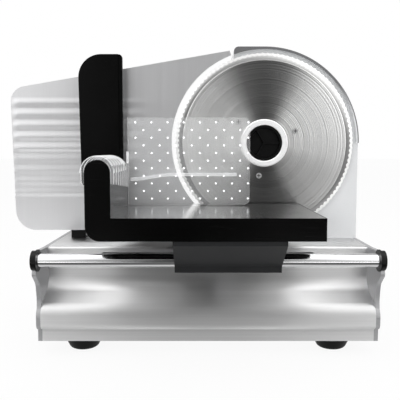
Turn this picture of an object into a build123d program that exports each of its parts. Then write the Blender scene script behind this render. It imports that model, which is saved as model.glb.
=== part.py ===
from build123d import *
import math
import os

os.makedirs("parts", exist_ok=True)

# Deli meat slicer. While the pieces are made, X runs to the right, Y away from the user and
# Z up, in millimetres. X = 0 is the middle of the base, Y = 0 the front plane of the blade and
# Z = 0 the table. The last lines move all pieces so that the origin is the middle of the
# bottom of the whole machine's box.

# ---- clearances and screws ----
GAP = 0.3                 # between pieces that pass each other
FIT = 0.05                # all round a shaft in its bore, and round a piece let into another
SCREW_D = 4.0
SCREW_HEAD_D = 7.5
SCREW_HEAD_H = 2.4

# ---- base ----
BASE_HALF = 162.0         # half the width over the end plates
END_PLATE = 4.0
FOOT_H = 13.5
DECK_Z = 100.0
DECK_FRONT = -52.0        # the upright face under the deck's front edge
BACK_Y = 108.0
LIP_Y = -79.0             # the lip at the bottom of the front
LIP_TOP = 25.0
BELLY_Y = -84.8           # the swelling in the middle of the front
BELLY_LOW = 27.0
BELLY_TOP = 46.0
RECESS_H = 38.0           # the upright face behind the slide rod, under the deck
SHEET = 1.5               # the base's sheet steel
PAN_WALL_H = 10.0
SLOT_HALF = 107.0         # the carriage slot, half its length
SLOT_BELOW_DECK = 5.6
SLOT_H = 10.0

# ---- feet ----
FOOT_TOP_D = 40.0
FOOT_LOW_D = 26.0
FOOT_X = 123.0
FOOT_FRONT_Y = -54.0
FOOT_REAR_Y = 84.0

# ---- slide rod, its caps and the inner rail ----
ROD_D = 12.7
ROD_Y = -90.8
ROD_BELOW_DECK = 6.4
CAP_D = 18.4
CAP_FLANGE_D = 20.4
CAP_FLANGE = 1.5
RAIL_D = 8.0
RAIL_Y = -37.0

# ---- carriage ----
FRAME_LEFT = -103.2
FRAME_RIGHT = 97.7
FRAME_FRONT = -139.3
FRAME_BACK = -6.0
FRAME_ABOVE_DECK = 19.0
APRON_H = 19.4
TRAY_SHEET = 1.2
SKIN = 2.6                # wall of the black mouldings
WALL_W = 21.4             # the hollow wall that the pusher rides on
WALL_H = 48.2             # above the tray
CORNER_R = 12.4
SHIELD_LEFT = -133.0
SHIELD_RIGHT = -88.0
SHIELD_WING_H = 19.3      # from the tray up to the wing that reaches out to the left
SHIELD_H = 154.6          # above the tray
SHIELD_T = 6.0
SHIELD_FRONT = -17.0
SHIELD_R = 24.0

# ---- bracket under the carriage ----
BRACKET_LEFT = -30.5
BRACKET_RIGHT = 65.9
BRACKET_BELOW_DECK = 15.4
BRACKET_BOSS_R = 4.5
BUSH_T = 1.6
BUSH_L = 24.0
TONGUE_W = 20.0
TONGUE_H = 6.0

# ---- pusher ----
PUSHER_LEFT = -81.0
PUSHER_RIGHT = 43.0
PUSHER_GAP = 1.0          # under the pusher, above the tray
PUSHER_H = 88.6
PUSHER_Y = -26.0
PUSHER_T = 2.5
SADDLE_T = 2.5
SADDLE_BACK = -54.0
SPIKE_PITCH = 16.5
SPIKE_ROW = 7.8
SPIKE_D = 3.4
SPIKE_L = 6.5
PUSHER_RIB_H = 33.6       # the rib's height above the tray

# ---- blade and its drive ----
BLADE_X = 60.8
BLADE_ABOVE_DECK = 102.8
BLADE_R = 95.0
BLADE_T = 1.6
BLADE_EDGE_T = 0.35
BEVEL_W = 7.2
TEETH_ON_BLADE = 110
SCALLOP_DEPTH = 0.9
HUB_R = 25.2
LOCK_R = 19.1
BLADE_SCREW_IN = 4.7      # from the edge of the gear's face behind the blade to its screws
GEAR_MODULE = 1.25
BLADE_TEETH = 66
IDLER_TEETH = 60
PINION_TEETH = 16
GEAR_FACE = 8.0
SPINDLE_D = 10.0
IDLER_PIN_D = 6.0
IDLER_ANGLE = -40.0       # from the blade's axis to the idler's, from +X towards +Z
MOTOR_ANGLE = -80.0       # from the idler's axis to the motor's
MOTOR_D = 42.0
MOTOR_L = 62.0
MOTOR_WALL = 2.0
SHAFT_D = 4.0

# ---- tower ----
TOWER_LEFT = 28.0
TOWER_FRONT = 3.6
TOWER_SPLIT = 76.0        # where the rear cover begins
TOWER_BACK = 104.0
TOWER_RIM = 6.0           # from the blade's edge to the tower's round outline
TOWER_WALL = 2.5
TOWER_CORNER_R = 5.0
RIM_GAP = 3.5             # from the blade's edge to the rim round it
RIM_FRONT = 0.4
DRIVE_PLATE_Y = 30.0
DRIVE_PLATE_T = 2.5

# ---- guide plate and its adjuster ----
GUIDE_LEFT = -210.0
GUIDE_LOW_LEFT = -206.0
GUIDE_ABOVE_DECK = 9.2
GUIDE_RIGHT = 23.4
GUIDE_ABOVE_BLADE = 1.7   # the guide plate's highest corner above the blade's edge
GUIDE_FALL = 39.5         # how far its top falls towards the left
GUIDE_GAP = 3.8           # round the blade's edge
GUIDE_T = 3.2
GUIDE_TRAVEL = 15.0
RIB_COUNT = 9
RIB_TOP_DROP = 53.9       # from the plate's highest corner to the first rib
RIB_PITCH = 11.96
RIB_H = 0.7
RIB_W = 6.0
GUIDE_RIB_END = -62.0
SUPPORT_LEFT = -126.0
SUPPORT_RIGHT = -66.0
SUPPORT_FRONT = 30.0
SUPPORT_BACK = 98.0
SUPPORT_H = 66.0
SUPPORT_WALL = 3.0
RUNNER_D = 8.0
RUNNER_ABOVE_DECK = 15.0
PAD_LEFT = -147.4
PAD_RIGHT = -132.1
CAM_Y = 62.0
CAM_ABOVE_DECK = 32.0
CAM_T = 7.0
CAM_LOW_R = 7.0           # groove radius at full thickness
CAM_TURN = 300.0          # degrees from nothing to full thickness
CAM_PIN_D = 4.0
KNOB_D = 44.0
KNOB_L = 16.0
KNOB_GRIPS = 24
KNOB_SHAFT_R = 5.0

# ---- lock, motor and electrics ----
LOCK_SHANK_R = 9.0
LUG_ENTRY = 75.0          # degrees from locked to released
BUSH_WALL = 1.5
COMMUTATOR_R = 6.0
GLAND_D = 14.0
GLAND_X = 75.0
GLAND_Z = 40.0
BOARD_Y = 80.0
SWITCH_Y = 58.0
SWITCH_BELOW_BLADE = 40.0
LEAD_R = 2.0
VENT_ROWS = 8
VENT_PITCH = 11.0
VENT_H = 4.0
VENT_HALF = 26.0

# ---- sizes that follow ----
deck_under = DECK_Z - SHEET
RECESS_LOW = DECK_Z - RECESS_H
SLOT_HIGH = DECK_Z - SLOT_BELOW_DECK
SLOT_LOW = SLOT_HIGH - SLOT_H
ROD_Z = DECK_Z - ROD_BELOW_DECK
FRAME_LOW = DECK_Z + FRAME_ABOVE_DECK
TRAY_Z = FRAME_LOW + APRON_H
WALL_TOP = TRAY_Z + WALL_H
SHIELD_LOW = TRAY_Z + SHIELD_WING_H
SHIELD_TOP = TRAY_Z + SHIELD_H
BRACKET_LOW = DECK_Z - BRACKET_BELOW_DECK
PUSHER_LOW = TRAY_Z + PUSHER_GAP
PUSHER_TOP = PUSHER_LOW + PUSHER_H
RIB_Z = TRAY_Z + PUSHER_RIB_H
BLADE_Z = DECK_Z + BLADE_ABOVE_DECK
BEVEL_IN_R = BLADE_R - BEVEL_W
TOWER_RIM_R = BLADE_R + TOWER_RIM
RIM_INNER_R = BLADE_R + RIM_GAP
GUIDE_ARC_R = BLADE_R + GUIDE_GAP
GUIDE_LOW = DECK_Z + GUIDE_ABOVE_DECK
GUIDE_TOP = BLADE_Z + BLADE_R + GUIDE_ABOVE_BLADE
GUIDE_TOP_LEFT = GUIDE_TOP - GUIDE_FALL
RIB_TOP_Z = GUIDE_TOP - RIB_TOP_DROP
SUPPORT_TOP = DECK_Z + SUPPORT_H
RUNNER_Z = DECK_Z + RUNNER_ABOVE_DECK
CAM_Z = DECK_Z + CAM_ABOVE_DECK
inner_half = BASE_HALF - END_PLATE
slot_mid = (SLOT_LOW + SLOT_HIGH) / 2
tray_left = FRAME_LEFT + WALL_W
wall_mid = FRAME_LEFT + WALL_W / 2
bracket_mid = (BRACKET_LEFT + BRACKET_RIGHT) / 2
blade_back = BLADE_T
pitch_blade = GEAR_MODULE * BLADE_TEETH / 2
pitch_idler = GEAR_MODULE * IDLER_TEETH / 2
pitch_pinion = GEAR_MODULE * PINION_TEETH / 2
blade_to_idler = pitch_blade + pitch_pinion
idler_to_motor = pitch_idler + pitch_pinion
idler_x = BLADE_X + blade_to_idler * math.cos(math.radians(IDLER_ANGLE))
idler_z = BLADE_Z + blade_to_idler * math.sin(math.radians(IDLER_ANGLE))
motor_x = idler_x + idler_to_motor * math.cos(math.radians(MOTOR_ANGLE))
motor_z = idler_z + idler_to_motor * math.sin(math.radians(MOTOR_ANGLE))
tower_right = BLADE_X + TOWER_RIM_R
tower_top = BLADE_Z + TOWER_RIM_R
blade_seat_r = pitch_blade - GEAR_MODULE
blade_screw_r = blade_seat_r - BLADE_SCREW_IN
drum_r = pitch_blade + GEAR_MODULE + 2 + TOWER_WALL      # gear housing round the blade's axis
ring_y = TOWER_FRONT + TOWER_WALL + 3.5                  # front of the blade gear's teeth
second_y = ring_y + GEAR_FACE + 2                        # front of the idler's large wheel
support_mid = (SUPPORT_LEFT + SUPPORT_RIGHT) / 2
cam_high_r = CAM_LOW_R + GUIDE_TRAVEL


# ---- shapes used many times ----
def block(x0, x1, y0, y1, z0, z1):
    """A box between two corners."""
    middle = Pos((x0 + x1) / 2, (y0 + y1) / 2, (z0 + z1) / 2)
    return middle * Box(x1 - x0, y1 - y0, z1 - z0)


def rod_x(radius, y, z, x0, x1):
    return Pos((x0 + x1) / 2, y, z) * Rot(0, 90, 0) * Cylinder(radius, x1 - x0)


def rod_y(radius, x, z, y0, y1):
    return Pos(x, (y0 + y1) / 2, z) * Rot(90, 0, 0) * Cylinder(radius, y1 - y0)


def rod_z(radius, x, y, z0, z1):
    return Pos(x, y, (z0 + z1) / 2) * Cylinder(radius, z1 - z0)


def outline(points):
    """A closed face through (across, up, corner radius) points."""
    path = [(p[0], p[1]) for p in points]
    return make_face(FilletPolyline(path, radius=[float(p[2]) for p in points], close=True))


def slab_x(face, x0, x1):
    """A face drawn as (Y, Z), given a thickness along X."""
    at = Plane((x0, 0, 0), x_dir=(0, 1, 0), z_dir=(1, 0, 0))
    return extrude(at * face, amount=x1 - x0)


def slab_y(face, y0, y1):
    """A face drawn as (X, Z), given a thickness along Y."""
    at = Plane((0, y0, 0), x_dir=(1, 0, 0), z_dir=(0, -1, 0))
    return extrude(at * face, amount=y0 - y1)


def turned(points, x, z):
    """(radius, Y) points turned about the line along Y through x, z."""
    face = Pos(x, 0, 0) * make_face(Polyline(*points, close=True))
    return Pos(0, 0, z) * revolve(face, Axis((x, 0, 0), (0, 1, 0)), 360)


def spun(points, x, y):
    """(radius, Z) points turned about the upright line through x, y."""
    face = Plane.XZ * make_face(Polyline(*points, close=True))
    return Pos(x, y, 0) * revolve(face, Axis.Z, 360)


def sector(radius, middle, half_angle):
    """A pie slice about the origin, for cutting, angles in degrees."""
    angles = [math.radians(middle + k * half_angle) for k in (-1, 0, 1)]
    rim = [(radius * math.cos(a), radius * math.sin(a)) for a in angles]
    return make_face(Polyline((0, 0), *rim, close=True))


def polar(radius, degrees, x=0.0, z=0.0):
    a = math.radians(degrees)
    return x + radius * math.cos(a), z + radius * math.sin(a)


def screw_z(x, y, head_z, length, up=True):
    """A pan-head screw along Z: its head's bearing face is at head_z."""
    way = 1 if up else -1
    shank = rod_z(SCREW_D / 2, x, y, *sorted((head_z, head_z + way * length)))
    head = rod_z(SCREW_HEAD_D / 2, x, y, *sorted((head_z, head_z - way * SCREW_HEAD_H)))
    return shank + head


def screw_y(x, z, head_y, length, back=True):
    """A pan-head screw along Y, pointing back, or forward if back is False."""
    way = 1 if back else -1
    shank = rod_y(SCREW_D / 2, x, z, *sorted((head_y, head_y + way * length)))
    head = rod_y(SCREW_HEAD_D / 2, x, z, *sorted((head_y, head_y - way * SCREW_HEAD_H)))
    return shank + head


def screw_x(y, z, head_x, length, right=True):
    """A pan-head screw along X, pointing right, or left if right is False."""
    way = 1 if right else -1
    shank = rod_x(SCREW_D / 2, y, z, *sorted((head_x, head_x + way * length)))
    head = rod_x(SCREW_HEAD_D / 2, y, z, *sorted((head_x, head_x - way * SCREW_HEAD_H)))
    return shank + head


def gear_outline(teeth, tooth_at):
    """An involute spur gear with a tooth centred on the angle tooth_at, in degrees."""
    pitch = GEAR_MODULE * teeth / 2
    base = pitch * math.cos(math.radians(20))
    tip = pitch + 0.85 * GEAR_MODULE
    root = pitch - 1.15 * GEAR_MODULE
    slack = 0.1 / pitch                       # each flank stands back 0.1 mm at the pitch circle
    at_pitch = math.tan(math.radians(20)) - math.radians(20)
    half = math.pi / (2 * teeth) - slack + at_pitch
    flank = [(root, half if root < base else None)]
    start = max(base, root)
    for i in range(6):
        radius = start + (tip - start) * i / 5
        roll = math.acos(min(1.0, base / radius))
        flank.append((radius, half - (math.tan(roll) - roll)))
    if flank[0][1] is None:
        flank = flank[1:]
    points = []
    for k in range(teeth):
        middle = math.radians(tooth_at) + 2 * math.pi * k / teeth
        rising = [(r, middle - a) for r, a in flank]
        falling = [(r, middle + a) for r, a in reversed(flank)]
        points += [(r * math.cos(a), r * math.sin(a)) for r, a in rising + falling]
    return make_face(Polyline(*points, close=True))


# ---- places shared by several pieces ----
rod_half = BASE_HALF - 1.5
bush_r = ROD_D / 2 + FIT + BUSH_T
tongue_front = ROD_Y + bush_r + 1.5
foot_places = [(x, y) for x in (-FOOT_X, FOOT_X) for y in (FOOT_FRONT_Y, FOOT_REAR_Y)]
pan_top = FOOT_H + SHEET + PAN_WALL_H
pan_screw_z = FOOT_H + SHEET + PAN_WALL_H / 2
pan_screw_ys = (LIP_Y + 30, BACK_Y - 30)
end_screws = [(y, pan_screw_z) for y in pan_screw_ys] + [(RAIL_Y, slot_mid)]
board_mid = (GLAND_X, BOARD_Y)
board_z = FOOT_H + SHEET + 6
board_posts = [(board_mid[0] + sx * 26, board_mid[1] + sy * 16) for sx in (-1, 1) for sy in (-1, 1)]
tray_low = TRAY_Z - TRAY_SHEET
bracket_head_z = tray_low - SCREW_HEAD_H - GAP      # the screws' heads lie under the tray plate
bracket_bolts = [(x, y) for x in (BRACKET_LEFT + 12, BRACKET_RIGHT - 12)
                 for y in (FRAME_FRONT + 20, ROD_Y - 7.2)]
shield_bolts = (TRAY_Z + 10, WALL_TOP - WALL_W / 2)
blade_screw_angles = (21.0, 141.0, 261.0)
lock_hole_r = LOCK_R - 2.0
lock_back_y = blade_back + 2.4
lip_back = lock_back_y + 2.0
lug_r = LOCK_SHANK_R + 3.0
lug_rest = 0.0
spindle_front = blade_back + 5.0
motor_front = DRIVE_PLATE_Y + DRIVE_PLATE_T
motor_back = motor_front + MOTOR_L - 5
motor_bush_r = SHAFT_D / 2 + FIT + 1.5
core_r = MOTOR_D / 2 - MOTOR_WALL - 4 - 0.6
slot_angles = (30.0, 150.0, 270.0)
plate_bolts = [
    (TOWER_LEFT + TOWER_WALL + 6, DECK_Z + 12), (tower_right - TOWER_WALL - 6, DECK_Z + 12),
    (TOWER_LEFT + TOWER_WALL + 6, BLADE_Z + 49), polar(TOWER_RIM_R - TOWER_WALL - 6, 45, BLADE_X, BLADE_Z),
]
motor_bolts = [polar(15.5, angle, motor_x, motor_z) for angle in (0, 180)]
cover_bolts = [
    (TOWER_LEFT + 7, DECK_Z + 18), (tower_right - 7, DECK_Z + 18),
    (TOWER_LEFT + 7, tower_top - 8), polar(TOWER_RIM_R - 7, 50, BLADE_X, BLADE_Z),
]
tower_bolts = [(x, y) for x in (TOWER_LEFT + 8, tower_right - 15) for y in (14.0, 62.0)]
support_bolts = [(x, y) for x in (SUPPORT_LEFT + 8, SUPPORT_RIGHT - 8)
                 for y in (SUPPORT_FRONT + 17, SUPPORT_BACK - 17)]
vent_x = BLADE_X + 40
vent_low = BLADE_Z - 40
switch_z = BLADE_Z - SWITCH_BELOW_BLADE
rocker_x = tower_right - 3.0
lead_x = motor_x - 12
lead_y = motor_back + 5 + LEAD_R
guide_end = TOWER_LEFT - 2
runner_xs = (support_mid - 20, support_mid + 20)
guide_bolts = [(x, z) for x in (PAD_LEFT + 8, SUPPORT_RIGHT) for z in (DECK_Z + 40, DECK_Z + 80)]
cam_pin_y = CAM_Y - cam_high_r


# ---- base: shell, pan, end plates ----
def base_outline():
    return outline([
        (LIP_Y, FOOT_H, 0),
        (LIP_Y, LIP_TOP, 0.5),
        (BELLY_Y, BELLY_LOW, 6),
        (BELLY_Y, BELLY_TOP, 14),
        (DECK_FRONT, RECESS_LOW, 16),
        (DECK_FRONT, DECK_Z, 3),
        (BACK_Y, DECK_Z, 3),
        (BACK_Y, FOOT_H, 0),
    ])


def base_shell():
    skin = base_outline() - offset(base_outline(), amount=-SHEET)
    shell = slab_x(skin, -inner_half, inner_half)
    shell -= block(-inner_half, inner_half, LIP_Y + SHEET, BACK_Y - SHEET, 0, FOOT_H + SHEET)
    slot_r = (SLOT_HIGH - SLOT_LOW) / 2
    slot = outline([
        (-SLOT_HALF, SLOT_LOW, slot_r * 0.98),
        (SLOT_HALF, SLOT_LOW, slot_r * 0.98),
        (SLOT_HALF, SLOT_HIGH, slot_r * 0.98),
        (-SLOT_HALF, SLOT_HIGH, slot_r * 0.98),
    ])
    shell -= slab_y(slot, DECK_FRONT - 1, DECK_FRONT + SHEET + 1)
    for x, y in tower_bolts + support_bolts:
        shell -= rod_z(SCREW_D / 2 + FIT, x, y, deck_under - 1, DECK_Z + 1)
    shell -= rod_z(LEAD_R + 1, lead_x, lead_y, deck_under - 1, DECK_Z + 1)
    shell -= rod_y(GLAND_D / 2 + FIT, GLAND_X, GLAND_Z, BACK_Y - SHEET - 1, BACK_Y + 1)
    return shell


def base_pan():
    inside_front = LIP_Y + SHEET + FIT
    inside_back = BACK_Y - SHEET - FIT
    top = FOOT_H + SHEET + PAN_WALL_H
    half = inner_half - FIT
    pan = block(-half, half, inside_front, inside_back, FOOT_H, top)
    pan -= block(-half + SHEET, half - SHEET, inside_front + SHEET, inside_back - SHEET,
                 FOOT_H + SHEET, top + 1)
    for x, y in foot_places:
        pan += rod_z(6, x, y, FOOT_H, FOOT_H + SHEET + 7)
        pan -= rod_z(SCREW_D / 2 + FIT, x, y, FOOT_H - 1, FOOT_H + 12)
    for x, y in board_posts:
        pan += rod_z(3.5, x, y, FOOT_H, board_z)
    for side in (-1, 1):
        for y in pan_screw_ys:
            pan -= rod_x(SCREW_D / 2 + FIT, y, pan_screw_z, *sorted((side * (half - 3), side * (half + 1))))
    return pan


def end_plate(side):
    """The plate at one end, with the ear that holds the rod's cap."""
    ear_low = BELLY_TOP - 12
    ear_high = ROD_Z - 23.6
    reach = ear_high - ear_low
    ear = outline([
        (DECK_FRONT + 6, ear_low, 0),
        (BELLY_Y + 0.4, ear_low, 0),
        (BELLY_Y + 4.5, ear_low + reach * 19 / 36, min(30, reach * 30 / 36)),
        (BELLY_Y + 1.3, ear_high, 12),
        (ROD_Y - 4.2, ROD_Z - 13.2, 4),
        (ROD_Y - 2.2, ROD_Z - 7.4, 0),
        (ROD_Y + 2.8, ROD_Z + 7.9, 0),
        (DECK_FRONT - 3, DECK_Z, 2),
        (DECK_FRONT + 6, DECK_Z, 0),
    ])
    face = base_outline() + ear
    plate = slab_x(face, *sorted((side * inner_half, side * BASE_HALF)))
    inner = offset(base_outline(), amount=-SHEET - FIT)
    ledge = slab_x(inner - offset(inner, amount=-2.0), *sorted((side * inner_half, side * (inner_half - 5))))
    plate += ledge - block(-BASE_HALF, BASE_HALF, LIP_Y - 10, BACK_Y + 1, 0, pan_top + 2)
    plate -= rod_x(CAP_D / 2 + FIT, ROD_Y, ROD_Z, *sorted((side * (inner_half - 1), side * (BASE_HALF + 1))))
    for y, z in end_screws:
        plate -= rod_x(SCREW_D / 2 + FIT, y, z, *sorted((side * (inner_half - 1), side * (BASE_HALF + 1))))
    plate -= block(*sorted((side * (inner_half - 6), side * inner_half)), RAIL_Y - 6, RAIL_Y + 6,
                   slot_mid - 6, slot_mid + 6)
    return plate


def rod_caps():
    caps = []
    for side in (-1, 1):
        body = rod_x(CAP_D / 2, ROD_Y, ROD_Z, *sorted((side * inner_half, side * BASE_HALF)))
        ends = sorted((side * (inner_half - CAP_FLANGE), side * inner_half))
        body += rod_x(CAP_FLANGE_D / 2, ROD_Y, ROD_Z, *ends)
        body -= rod_x(ROD_D / 2 + FIT, ROD_Y, ROD_Z, *sorted((side * (inner_half - 3), side * rod_half)))
        caps.append(body)
    return Compound(caps)


def foot(x, y):
    """A hollow rubber bowl with a flat top, turned up on its screw."""
    low_r = FOOT_LOW_D / 2
    top_r = FOOT_TOP_D / 2
    profile = [
        (SCREW_D / 2 + FIT, FOOT_H), (top_r, FOOT_H), (top_r, FOOT_H - 2.2),
        (top_r - 1.2, FOOT_H - 4.8), (top_r - 3.2, FOOT_H - 8.2), (low_r + 1.6, 1.6), (low_r, 0),
        (low_r - 3.2, 0), (low_r - 4.2, 3.0), (low_r - 5.2, FOOT_H - 6.5),
        (SCREW_D / 2 + FIT, FOOT_H - 6.5),
    ]
    return spun(profile, x, y)


# ---- rods ----
def slide_rod():
    return chamfer(rod_x(ROD_D / 2, ROD_Y, ROD_Z, -rod_half, rod_half).edges(), 0.6)


def guide_rail():
    rail = rod_x(RAIL_D / 2, RAIL_Y, slot_mid, -inner_half, inner_half)
    for side in (-1, 1):
        ends = sorted((side * (inner_half - 12), side * (inner_half + 1)))
        rail -= rod_x(SCREW_D / 2, RAIL_Y, slot_mid, *ends)
    return rail


# ---- carriage ----
def wall_face(grow):
    """The pusher wall's section, an upright with a round top, made smaller by grow."""
    half = WALL_W / 2 - grow
    return outline([
        (wall_mid - half, FRAME_LOW, 0),
        (wall_mid + half, FRAME_LOW, 0),
        (wall_mid + half, WALL_TOP - grow, half * 0.98),
        (wall_mid - half, WALL_TOP - grow, half * 0.98),
    ])


def carriage_frame():
    outer = outline([
        (FRAME_LEFT, FRAME_LOW, CORNER_R),
        (FRAME_RIGHT, FRAME_LOW, 1),
        (FRAME_RIGHT, TRAY_Z, 0.8),
        (FRAME_LEFT, TRAY_Z, 0),
    ])
    frame = slab_y(outer, FRAME_FRONT, FRAME_BACK)
    frame -= block(FRAME_LEFT + CORNER_R, FRAME_RIGHT - SKIN, FRAME_FRONT + SKIN, FRAME_BACK - SKIN,
                   FRAME_LOW - 1, tray_low - SKIN)
    frame += slab_y(wall_face(0), FRAME_FRONT, SHIELD_FRONT) & block(
        FRAME_LEFT - 1, tray_left, FRAME_FRONT, SHIELD_FRONT, TRAY_Z - 2, WALL_TOP + 1)
    hollow = slab_y(wall_face(SKIN), FRAME_FRONT + SKIN, SHIELD_FRONT + 1)
    frame -= hollow - block(FRAME_LEFT, tray_left, FRAME_FRONT, 0, 0, TRAY_Z)
    frame -= block(tray_left, FRAME_RIGHT - 1.2, FRAME_FRONT + 1.2, FRAME_BACK + 1, tray_low, TRAY_Z + 1)
    corner = outline([
        (FRAME_LEFT - 1, FRAME_LOW - 1, 0),
        (FRAME_LEFT + CORNER_R, FRAME_LOW - 1, 0),
        (FRAME_LEFT + CORNER_R, FRAME_LOW + CORNER_R, 0),
        (FRAME_LEFT - 1, FRAME_LOW + CORNER_R, 0),
    ]) - Pos(FRAME_LEFT + CORNER_R, FRAME_LOW + CORNER_R) * Circle(CORNER_R)
    frame -= slab_y(corner, FRAME_FRONT - 1, FRAME_BACK + 1)
    for x, y in bracket_bolts:
        frame += rod_z(SCREW_HEAD_D / 2 + SKIN, x, y, FRAME_LOW, tray_low)
        frame -= rod_z(SCREW_D / 2 + FIT, x, y, FRAME_LOW - 1, tray_low)
        frame -= rod_z(SCREW_HEAD_D / 2 + FIT, x, y, bracket_head_z, tray_low + 1)
    for z in shield_bolts:
        frame += rod_y(WALL_W / 2 - 1, wall_mid, z, SHIELD_FRONT - 12, SHIELD_FRONT)
        frame -= rod_y(SCREW_D / 2, wall_mid, z, SHIELD_FRONT - 11, SHIELD_FRONT + 1)
    return frame


def hand_shield():
    face = outline([
        (SHIELD_LEFT, SHIELD_LOW, 6),
        (SHIELD_RIGHT, SHIELD_LOW, 0),
        (SHIELD_RIGHT, SHIELD_TOP, 4),
        (SHIELD_LEFT, SHIELD_TOP, SHIELD_R),
    ])
    back = SHIELD_FRONT + SHIELD_T
    plate = slab_y(face, SHIELD_FRONT, back)
    plate += block(FRAME_LEFT, SHIELD_RIGHT, SHIELD_FRONT, back, TRAY_Z, SHIELD_LOW + 1)
    inner = offset(face, amount=-SKIN)
    plate -= slab_y(inner, SHIELD_FRONT + SKIN, back + 1)
    for z in shield_bolts:
        plate += rod_y(5, wall_mid, z, SHIELD_FRONT, back)
        plate -= rod_y(SCREW_D / 2 + FIT, wall_mid, z, SHIELD_FRONT - 1, back + 1)
    return plate


def tray_plate():
    return block(tray_left + FIT, FRAME_RIGHT - 1.2 - FIT, FRAME_FRONT + 1.2 + FIT, FRAME_BACK,
                 TRAY_Z - TRAY_SHEET, TRAY_Z)


def slider_bracket():
    """The grey bracket: a flange under the carriage, sloping down to a block round the rod."""
    side = outline([
        (FRAME_FRONT + 1.5, FRAME_LOW, 0),
        (FRAME_FRONT + 1.5, FRAME_LOW - 4, 1),
        (ROD_Y - 13.2, BRACKET_LOW + 6, 3),
        (ROD_Y - 13.2, BRACKET_LOW, 2),
        (ROD_Y + 13.2, BRACKET_LOW, 2),
        (ROD_Y + 13.2, FRAME_LOW, 0),
    ])
    bracket = slab_x(side, BRACKET_LEFT, BRACKET_RIGHT)
    pocket = outline([
        (FRAME_FRONT + 6, FRAME_LOW - 4, 0),
        (ROD_Y - 12, ROD_Z + 12, 1),
        (ROD_Y + 9, ROD_Z + 12, 1),
        (ROD_Y + 9, FRAME_LOW - 4, 0),
    ])
    bracket -= slab_x(pocket, BRACKET_LEFT + 4, BRACKET_RIGHT - 4)
    bracket -= rod_x(bush_r + FIT, ROD_Y, ROD_Z, BRACKET_LEFT - 1, BRACKET_RIGHT + 1)
    bracket -= tongue_body(FIT)
    for x, y in bracket_bolts:
        bracket += rod_z(BRACKET_BOSS_R, x, y, ROD_Z + 11.5, FRAME_LOW)
        bracket -= rod_z(SCREW_D / 2, x, y, FRAME_LOW - 12, FRAME_LOW + 1)
    return bracket


def rod_bushes():
    bushes = []
    for x0 in (BRACKET_LEFT, BRACKET_RIGHT - BUSH_L):
        tube = rod_x(bush_r, ROD_Y, ROD_Z, x0, x0 + BUSH_L)
        bushes.append(tube - rod_x(ROD_D / 2 + FIT, ROD_Y, ROD_Z, x0 - 1, x0 + BUSH_L + 1))
    return Compound(bushes)


def tongue_body(grow):
    """The arm from the bracket through the slot, made larger all round by grow."""
    half = TONGUE_W / 2 + grow
    low = slot_mid - TONGUE_H / 2 - grow
    high = slot_mid + TONGUE_H / 2 + grow
    return block(bracket_mid - half, bracket_mid + half, tongue_front - grow, RAIL_Y - 7, low, high)


def guide_tongue():
    shoe = block(bracket_mid - TONGUE_W / 2, bracket_mid + TONGUE_W / 2, RAIL_Y - 7, RAIL_Y + 7,
                 slot_mid - 7, slot_mid + 7)
    tongue = tongue_body(0) + shoe
    return tongue - rod_x(RAIL_D / 2 + FIT, RAIL_Y, slot_mid, bracket_mid - TONGUE_W, bracket_mid + TONGUE_W)


def carriage_screws():
    reach = bracket_head_z - FRAME_LOW + 11
    screws = [screw_z(x, y, bracket_head_z, reach, up=False) for x, y in bracket_bolts]
    screws += [screw_y(wall_mid, z, SHIELD_FRONT + SHIELD_T, 14, back=False) for z in shield_bolts]
    return Compound(screws)


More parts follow.
